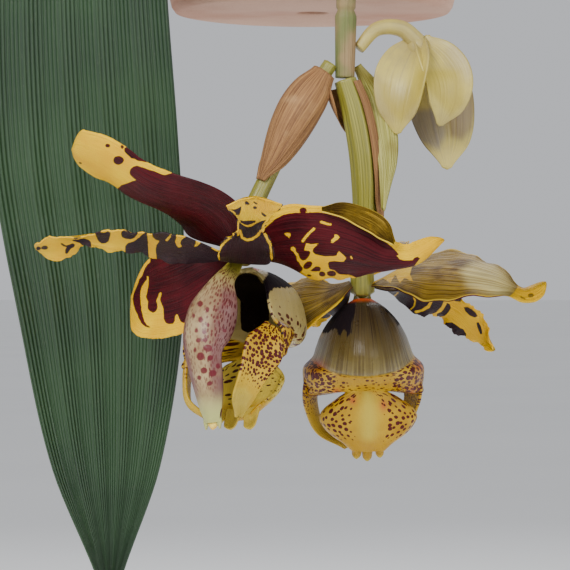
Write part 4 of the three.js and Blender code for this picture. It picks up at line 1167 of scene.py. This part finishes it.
def lip_finish(name, inside):
    wax = Finish(name, "lip", Specular_IOR_Level=0.25 if inside else 0.18)

    def dots(name, across, along_it, seed):
        place = wax.add("ShaderNodeMapping", {}, {
            "Vector": wax.add("ShaderNodeUVMap"), "Scale": (across, along_it, 1),
            "Location": (seed, seed, 0)})
        cell = {"Vector": place, "Scale": 1.0, "Randomness": 0.85}
        reach = wax.add("ShaderNodeTexVoronoi", {"voronoi_dimensions": "2D"}, cell)
        tint = wax.add("ShaderNodeTexVoronoi", {"voronoi_dimensions": "2D"}, cell, out=1)
        chance = wax.add("ShaderNodeSeparateColor", {}, [tint])
        size = wax.field(name) * (chance * 0.7 + 0.65)
        return (size - reach + (wax.grain(900, 2) - 0.5) * 0.18).rise(-0.03, 0.04)

    cloud = wax.grain(70, 3)
    fine = wax.grain(600, 3)
    lines = wax.fibres(64, 2.2, 3)
    cream = wax.blend(lines.rise(0.38, 0.64), (0.11, 0.075, 0.02), (0.26, 0.20, 0.06))
    yellow = wax.blend(cloud.rise(0.3, 0.7), (0.38, 0.20, 0.003), (0.52, 0.31, 0.012))
    colour = wax.blend(wax.field("gold"), cream, yellow)
    colour = wax.blend(wax.field("pale") * 0.8, colour, (0.52, 0.40, 0.05))
    colour = wax.blend(wax.field("cream"), colour, (0.42, 0.33, 0.12))
    colour = wax.blend(wax.field("blush") * 0.7, colour, (0.45, 0.05, 0.03))
    if inside:
        colour = wax.blend(dots("freckle", 8, 34, 3.3), colour, (0.035, 0.003, 0.004))
        depths = (wax.field("throat") + (fine - 0.5)).rise(-0.4, 0.4)
        colour = wax.blend(depths, colour, (0.006, 0.003, 0.005))
    else:
        colour = wax.blend(dots("plate", 19, 29, 2.2), colour, (0.07, 0.003, 0.004))
        colour = wax.blend(dots("freckle", 25, 24, 0.0), colour, (0.06, 0.003, 0.004))
        colour = wax.blend(dots("dense", 33, 40, 7.7), colour, (0.08, 0.004, 0.006))
        colour = wax.blend(dots("horn", 9, 28, 4.4), colour, (0.06, 0.003, 0.004))
        smoke = wax.field("smoke") * (lines.rise(0.3, 0.7) * 0.5 + 0.5)
        colour = wax.blend(smoke, colour, (0.02, 0.009, 0.005))
        stain = (wax.field("stain") + (lines - 0.5) * 7).rise(-0.6, 0.6)
        colour = wax.blend(stain, colour, (0.005, 0.001, 0.003))
        colour = wax.blend(wax.field("neck"), colour, (0.55, 0.07, 0.010))
    rough = cloud * 0.12 + fine * 0.08 + (0.2 if inside else stain * 0.5 + 0.2)
    return wax.finish(colour, rough, lines * 0.5 + cloud * 0.8 + fine * 0.2, 0.0005)


lip_inside = lip_finish("lip_inside", True)
lip_outside = lip_finish("lip_outside", False)
no_stain, no_throat = -20.0, -9.0
unmarked = dict(stain=no_stain, throat=no_throat, smoke=0, cream=0, blush=0, neck=0, dense=0, freckle=0,
                plate=0)


def row_at(rows, u):
    """The place (0, outward, axis) along a table of pairs"""
    return np.stack([0 * u, along([row[0] for row in rows], u), along([row[1] for row in rows], u)], -1)


def seated(flower, local):
    return local @ flower["frame"] + flower["centre"]


for key, flower in flowers.items():
    size = flower["lip_size"]
    first = key == "a"

    def lip_skin(u, v):
        bow = np.cos(math.pi * v / 2)[:, None]
        place = row_at(lip_chord, u) * (1 - bow) + row_at(lip_keel, u) * bow
        place[:, 0] = along(lip_half_widths, u) * np.sin(math.pi * v / 2)
        place[:, 1] += flower["deep"] * bow[:, 0] * np.exp(-(((u - 0.2) / 0.1) ** 2))
        place[:, 1:] += flower["crown"] * np.exp(-(((u - 0.11) / 0.06) ** 2))[:, None] * bow * [1, -1]
        row = u * last_row
        place[:, 0] += flower["plate_shift"] * step(row, waist - 0.4, waist + 1.5)
        ridge = step(row, waist, waist + 2) * np.exp(-((v / 0.16) ** 2)) * (1 - step(row, 15, 17))
        pillow = step(row, waist + 0.5, waist + 3) * np.exp(-(((np.abs(v) - 0.6) / 0.25) ** 2))
        rough = step(row, shoulder, shoulder + 1) * 0.35 * np.sin(v * 31 + row * 2.6) * np.abs(v) ** 4
        place[:, 1] += 1.1 * ridge + 1.2 * pillow + rough
        return seated(flower, place * size)

    main, u, v = grid(lip_skin, 170, 84)
    row = u * last_row
    x, y = seen_at(main)
    stain = np.full(len(u), no_stain)
    for corners in sac_stains[key]:
        stain = np.maximum(stain, outline(corners, x, y))
    inner = outline(throat, x, y) if first else (sac_rim - row) * 3 - np.abs(v) * 2
    rim = outline(mouth_rim, x, y) if first else np.full(len(u), -9.0)
    inner, stain = np.minimum(inner, -rim), np.minimum(stain, -rim)
    smudge = np.zeros(len(u))
    if not first:
        for middle_x, middle_y, wide, high in red_smudges:
            away = ((x - middle_x) / wide) ** 2 + ((y - middle_y) / high) ** 2
            smudge = np.maximum(smudge, np.exp(-away))
    side = step(np.abs(v), 0.12, 0.5)
    ledge = outline(mouth_ledge, x, y) if first else -9
    band = step(row, shoulder - 0.7, shoulder) * (1 - step(row, waist - 0.3, waist + 0.4))
    plate = step(row, waist, waist + 0.8) * (1 - step(row, 14.6, 16))
    off_keel = step(np.abs(v), 0.17, 0.3)
    above_band = 1 - step(row, 4.6, 5.2)
    smoke = 0.2 * (1 - step(row, 1, 2.4))
    freckle = band * (0.5 + 0.5 * side)
    plate_dots = 0.31 * plate * off_keel * (1 - step(np.abs(v), 0.95, 1))
    if first:
        pale = plate
        cream = np.maximum(0.9 * step(ledge, -1, 1), step(rim, -0.6, 0.6)) * (row < inside_end)
        cream = cream + 0.8 * above_band * step(row, 1, 2)
        plate_dots = plate_dots * (1 - 0.7 * (v < 0))
        freckle = freckle + 0.8 * plate * off_keel * (1 - 0.5 * (v < 0))
        freckle = freckle + step(row, 2.8, 4) * above_band * 0.95 * (v < 0)
    else:
        pale, cream = plate * np.exp(-((v / 0.13) ** 2)), 0
        smoke = smoke + 0.95 * (1 - step(row, 2, 4.6))
    paint(main, stain=np.where(row < sac_foot, stain, no_stain),
          throat=np.where(row < inside_end, inner, no_throat), smoke=smoke, gold=step(row, 4.6, 5.3),
          pale=pale, cream=cream, blush=smudge, neck=1 - step(row, 0.25, 0.7), dense=0.3 * band * side,
          horn=0, plate=plate_dots, freckle=0.36 * freckle * (1 - step(ledge, -1, 1)))
    thickened(main, 2.1 - 0.9 * v * v, [lip_inside, lip_outside])
    parts = [main]
    for hand in (-1, 1):
        near = first and hand == -1
        shift = flower["horn_shift"][hand]
        points = seated(flower, size * np.array([
            (hand * (a + 2 * near * (c < 50)), b + shift * (c < 68), c + flower["horn_top"][hand] * (c < 32))
            for a, b, c in horn_route]))
        broad = np.array([hand * 0.45, 0.9, 0]) @ flower["frame"]
        widths = [near_horn_root if near else horn_widths[0], *horn_widths[1:]]
        horn, u, v = blade(points, towards(broad), [size * flower["horn_size"][hand] * w for w in widths],
                           lambda u, v: -1.1 * v * v + 0.3 * np.sin(9 * u), 70, 24)
        x, y = seen_at(horn)
        clear = outline(near_horn_clear, x, y) if near else -9
        spotted = (1 - step(clear, -14, 4)) * (1 - 0.8 * step(u, 0.3, 1 if near else 0.62))
        pale = 0.35 * step(u, 0.35, 0.7) + 0.5 * step(clear, 0, 5)
        paint(horn, **unmarked, gold=1, pale=pale, horn=0.42 * spotted)
        thickened(horn, (2.6 - 1.2 * u) * (1 - 0.45 * np.abs(v) ** 3), [lip_outside, lip_outside])
        parts.append(horn)
    for sideways, length, wide in flower["teeth"]:
        points = [(flower["plate_shift"] + sideways * (1 + 0.12 * t),
                   11.6 - 1.6 * t + 0.05 * abs(sideways), 63 + length * t) for t in (0, 0.35, 0.7, 1)]
        tooth, u, v = blade(seated(flower, size * np.array(points)), towards(flower["frame"][0]),
                            [wide, wide * 1.05, wide, wide * 0.92, wide * 0.8],
                            lambda u, v: 0.9 * v * v + 0 * u, 40, 16, tip=0.16)
        paint(tooth, **unmarked, gold=1, pale=np.maximum(step(u, 0.8, 1), 0.7 * first), horn=0)
        thickened(tooth, (1.7 - 0.9 * u) * (1 - 0.4 * np.abs(v) ** 3), [lip_inside, lip_outside])
        parts.append(tooth)
    merged(parts)
    shaped(f"flower_{key}_lip", [lip_inside, lip_outside], f"flower_{key}_lip")

# The column arches over the lip: a thick waxy rib with a thin wing along each side, blotched crimson
# on grey and mauve, green at its tip, with the yellow anther cap at its end.
column_rib = [(-3.2, 4.2), (-7.5, 9), (-13, 16), (-17.5, 25), (-19.5, 33), (-19.3, 41), (-17, 49),
              (-13.5, 56), (-9.5, 62.5), (-6, 68), (-4.5, 71)]
column_edge = [(-3, 4.4), (-6.5, 10), (-11, 17), (-12, 25), (-11.5, 33), (-12.8, 41), (-14.5, 47),
               (-11.5, 55), (-8, 62), (-5, 67.5), (-3.7, 70.5)]
column_half_widths = [2.8, 4, 6.4, 10.2, 10.8, 10, 8, 6.8, 5.6, 4.2, 3]
# Crimson blotches seen on the column, in pixels of the picture: middle, half width, half height.
blotches = [(203, 307, 2.6, 3), (203, 322, 2.4, 3.2), (199.5, 332, 1.8, 2.4), (206, 333.5, 2, 2),
            (201, 341, 2.2, 2.4), (206.5, 340.5, 2.2, 2.2), (203, 356.5, 3.4, 4), (209, 348.5, 3.8, 3.6),
            (211, 358, 2.6, 2.6), (206, 370, 3, 3.2), (213.5, 373, 3.6, 3.4), (211, 383, 2.4, 2.2),
            (218, 366, 2, 3), (202, 377, 2, 2.4), (209, 312, 1.8, 2.8), (197, 318, 1.6, 2.6),
            (209, 326, 1.4, 2), (224, 331, 2.2, 1.8), (198, 350, 1.4, 2.4)]
pale_wax = Finish("column_wax", "column", Specular_IOR_Level=0.25)
column_cloud = pale_wax.grain(110, 4)
column_fine = pale_wax.grain(700, 3)


def column_dashes(across, along_it, seed):
    place = pale_wax.add("ShaderNodeMapping", {}, {
        "Vector": pale_wax.add("ShaderNodeUVMap"), "Scale": (across, along_it, 1),
        "Location": (seed, seed, 0)})
    reach = pale_wax.add("ShaderNodeTexVoronoi", {"voronoi_dimensions": "2D"}, {
        "Vector": place, "Scale": 1.0, "Randomness": 0.9})
    return 1 - (reach + (column_fine - 0.5) * 0.35).rise(0.22, 0.34)


column_colour = pale_wax.blend(column_cloud.rise(0.35, 0.65), (0.26, 0.17, 0.085), (0.38, 0.28, 0.14))
wing_shade = pale_wax.field("wing") * column_cloud.rise(0.15, 0.5)
column_colour = pale_wax.blend(wing_shade, column_colour, (0.16, 0.075, 0.065))
column_colour = pale_wax.blend(pale_wax.field("green"), column_colour, (0.30, 0.26, 0.02))
column_colour = pale_wax.blend(pale_wax.field("tip"), column_colour, (0.38, 0.38, 0.13))
dashes = column_dashes(30, 24, 1.1) * pale_wax.field("dashes")
column_colour = pale_wax.blend(dashes, column_colour, (0.07, 0.006, 0.007))
dots = column_dashes(24, 32, 5.2) * pale_wax.field("dots")
column_colour = pale_wax.blend(dots, column_colour, (0.10, 0.008, 0.014))
crimson = (pale_wax.field("crimson") + (column_fine - 0.5) * 1.6).rise(-0.5, 0.6)
column_colour = pale_wax.blend(crimson * 0.92, column_colour, (0.11, 0.006, 0.014))
column_colour = pale_wax.blend(pale_wax.field("edge"), column_colour, (0.06, 0.004, 0.008))
pale_wax.finish(column_colour, column_cloud * 0.2 + 0.22, column_cloud + column_fine * 0.3, 0.0004)
cap_wax = Finish("anther_cap", "column", Coat_Weight=0.3, Coat_Roughness=0.25)
cap_cloud = cap_wax.grain(300, 3)
cap_wax.finish(cap_wax.blend(cap_cloud.rise(0.3, 0.7), (0.75, 0.42, 0.02), (0.85, 0.62, 0.10)),
               cap_cloud * 0.2 + 0.3, cap_cloud, 0.0003)
no_crimson = -5


def waxed(piece):
    for wax in (pale_wax, cap_wax):
        piece.data.materials.append(wax.material)


for key, flower in flowers.items():
    def column_skin(u, v):
        bow = np.cos(math.pi * v / 2)[:, None]
        place = row_at(column_edge, u) * (1 - bow) + row_at(column_rib, u) * bow
        place[:, 0] = along(column_half_widths, u) * np.sin(math.pi * v / 2)
        place[:, 0] += 1.3 * np.exp(-(((u - 0.42) / 0.16) ** 2))
        place[:, 1] += 0.5 * np.sin(6 * math.pi * u) * np.abs(v) ** 6
        return seated(flower, place)

    column, u, v = grid(column_skin, 130, 70)
    x, y = seen_at(column)
    if key == "a":
        crimson = np.max([spot(*blotch, x, y) for blotch in blotches], axis=0)
    else:
        crimson = no_crimson
    middle = np.exp(-(((np.abs(v) - 0.35) / 0.3) ** 2))
    wing = step(np.abs(v), 0.2, 0.5) * step(u, 0.14, 0.3) * (1 - step(u, 0.75, 0.9))
    dashed = np.maximum(step(np.abs(v), 0.3, 0.6), 1 - step(u, 0.2, 0.36))
    paint(column, crimson=crimson, wing=wing, green=(1 - step(u, 0.08, 0.28)) * 0.9,
          tip=step(u, 0.74, 0.92), dashes=step(u, 0.05, 0.14) * (1 - step(u, 0.5, 0.72)) * dashed,
          dots=0.8 * middle * step(u, 0.1, 0.3) * (1 - step(u, 0.7, 0.85)),
          edge=step(np.abs(v), 0.94, 0.985) * step(u, 0.6, 0.7))
    waxed(column)
    thickened(column, 1 + (4 - 2 * u) * np.exp(-((v / 0.4) ** 2)))
    parts = [column]
    for sideways in (-2.6, 2.6):
        points = [(sideways, -4.6, 68.5), (sideways * 1.15, -3.8, 71), (sideways * 1.25, -3, 73.2)]
        point, u, v = blade(seated(flower, np.array(points)), towards(flower["frame"][0]),
                            [1.3, 1.1, 0.2], lambda u, v: 0 * u, 16, 10)
        paint(point, crimson=no_crimson, wing=0, green=0, tip=1, dashes=0, dots=0, edge=0)
        waxed(point)
        thickened(point, 1.2 - 0.5 * np.abs(v) ** 3)
        parts.append(point)
    bpy.ops.object.select_all(action="DESELECT")
    bpy.ops.mesh.primitive_uv_sphere_add(segments=32, ring_count=20, radius=1, location=(0, 0, 0))
    cap = bpy.context.object
    for vertex in cap.data.vertices:
        a, b, c = vertex.co
        beak = 1 + 0.35 * max(0, c) * (1 - abs(a))
        place = np.array([a * 2.2, -3.4 + b * 1.7, 70.6 + c * 2.2 * beak])
        vertex.co = Vector(seated(flower, place)) / 1000
    waxed(cap)
    for face in cap.data.polygons:
        face.material_index = 1
    parts.append(cap)
    merged(parts)
    shaped(f"flower_{key}_column", [pale_wax, cap_wax], f"flower_{key}_column")

# A third flower is still a half-open bud on its own short stalk: three broad sepals that hang
# together, cream yellow and shaded with mauve.
bud_wax = Finish("bud_wax", "bud", Coat_Weight=0.15, Coat_Roughness=0.35)
bud_veins = bud_wax.fibres(18, 1, 4)
bud_cloud = bud_wax.grain(60, 3)
bud_colour = bud_wax.blend(bud_cloud.rise(0.35, 0.65), (0.52, 0.42, 0.09), (0.38, 0.30, 0.09))
bud_colour = bud_wax.blend(bud_veins.rise(0.5, 0.7) * 0.5, bud_colour, (0.26, 0.20, 0.10))
bud_tints = {"lemon": (0.36, 0.27, 0.012), "mauve": (0.17, 0.14, 0.13), "tan": (0.16, 0.095, 0.04)}
for patch, tint in bud_tints.items():
    bud_colour = bud_wax.blend(bud_wax.field(patch) * (bud_veins * 0.6 + 0.5), bud_colour, tint)
bud_wax.finish(bud_colour, bud_veins * 0.2 + 0.35, bud_veins, 0.0004)
# Coloured places on its lobes, in pixels of the picture
bud_patches = {
    "lemon": [(380, 84), (392, 84), (404, 98), (418, 70), (462, 70), (464, 104), (450, 116), (440, 104),
              (428, 90), (410, 112), (402, 122), (390, 112), (382, 98)],
    "mauve": [(408, 112), (442, 108), (447, 132), (438, 150), (420, 142), (408, 130)],
    "tan": [(446, 60), (478, 60), (472, 128), (462, 140), (450, 136), (444, 112)],
}
bud_parts = [round_body([(17.6, -101, -530), (25, -98.5, -522), (35, -95, -521.5), (42, -93, -527)],
                        lambda t, angle: 2.4 + 1.4 * t, 40, 40)]
bpy.ops.mesh.primitive_uv_sphere_add(
    segments=40, ring_count=24, radius=0.005, location=(0.042, -0.093, -0.529))
bud_parts.append(bpy.context.object)
for tip, bulge, side, half, far_lobe in [
    ((33, -102, -564.6), (-3, -5.5, 0), (1, -0.35, 0), 10.8, False),
    ((50, -99, -561), (7, -5, 0), (1, 0.3, 0), 10.4, False),
    ((54, -87, -578), (4, 6, 0), (-1, 0, 0), 13.5, True),
]:
    base, end = np.array([42, -93, -526.0]), np.array(tip, float)
    points = [base * (1 - t) + end * t + np.array(bulge) * math.sin(math.pi * t)
              for t in (0, 0.25, 0.5, 0.75, 1)]
    lobe, u, v = blade(points, towards(side),
                       [w * half for w in (0.35, 0.8, 1, 0.95, 0.7, 0.12)],
                       lambda u, v: -4 * v * v * np.sin(math.pi * np.minimum(1, u + 0.15)), 60, 34)
    x, y = seen_at(lobe)
    paint(lobe, lemon=step(outline(bud_patches["lemon"], x, y), -5, 5) * 0.8 * (not far_lobe),
          mauve=step(outline(bud_patches["mauve"], x, y), -5, 4) * 0.9 * far_lobe,
          tan=step(outline(bud_patches["tan"], x, y), -5, 4) * 0.9 * far_lobe)
    thickened(lobe, 1.2 - 0.4 * np.abs(v) ** 3)
    bud_parts.append(lobe)
merged(bud_parts)
shaped("bud", bud_wax, "bud")
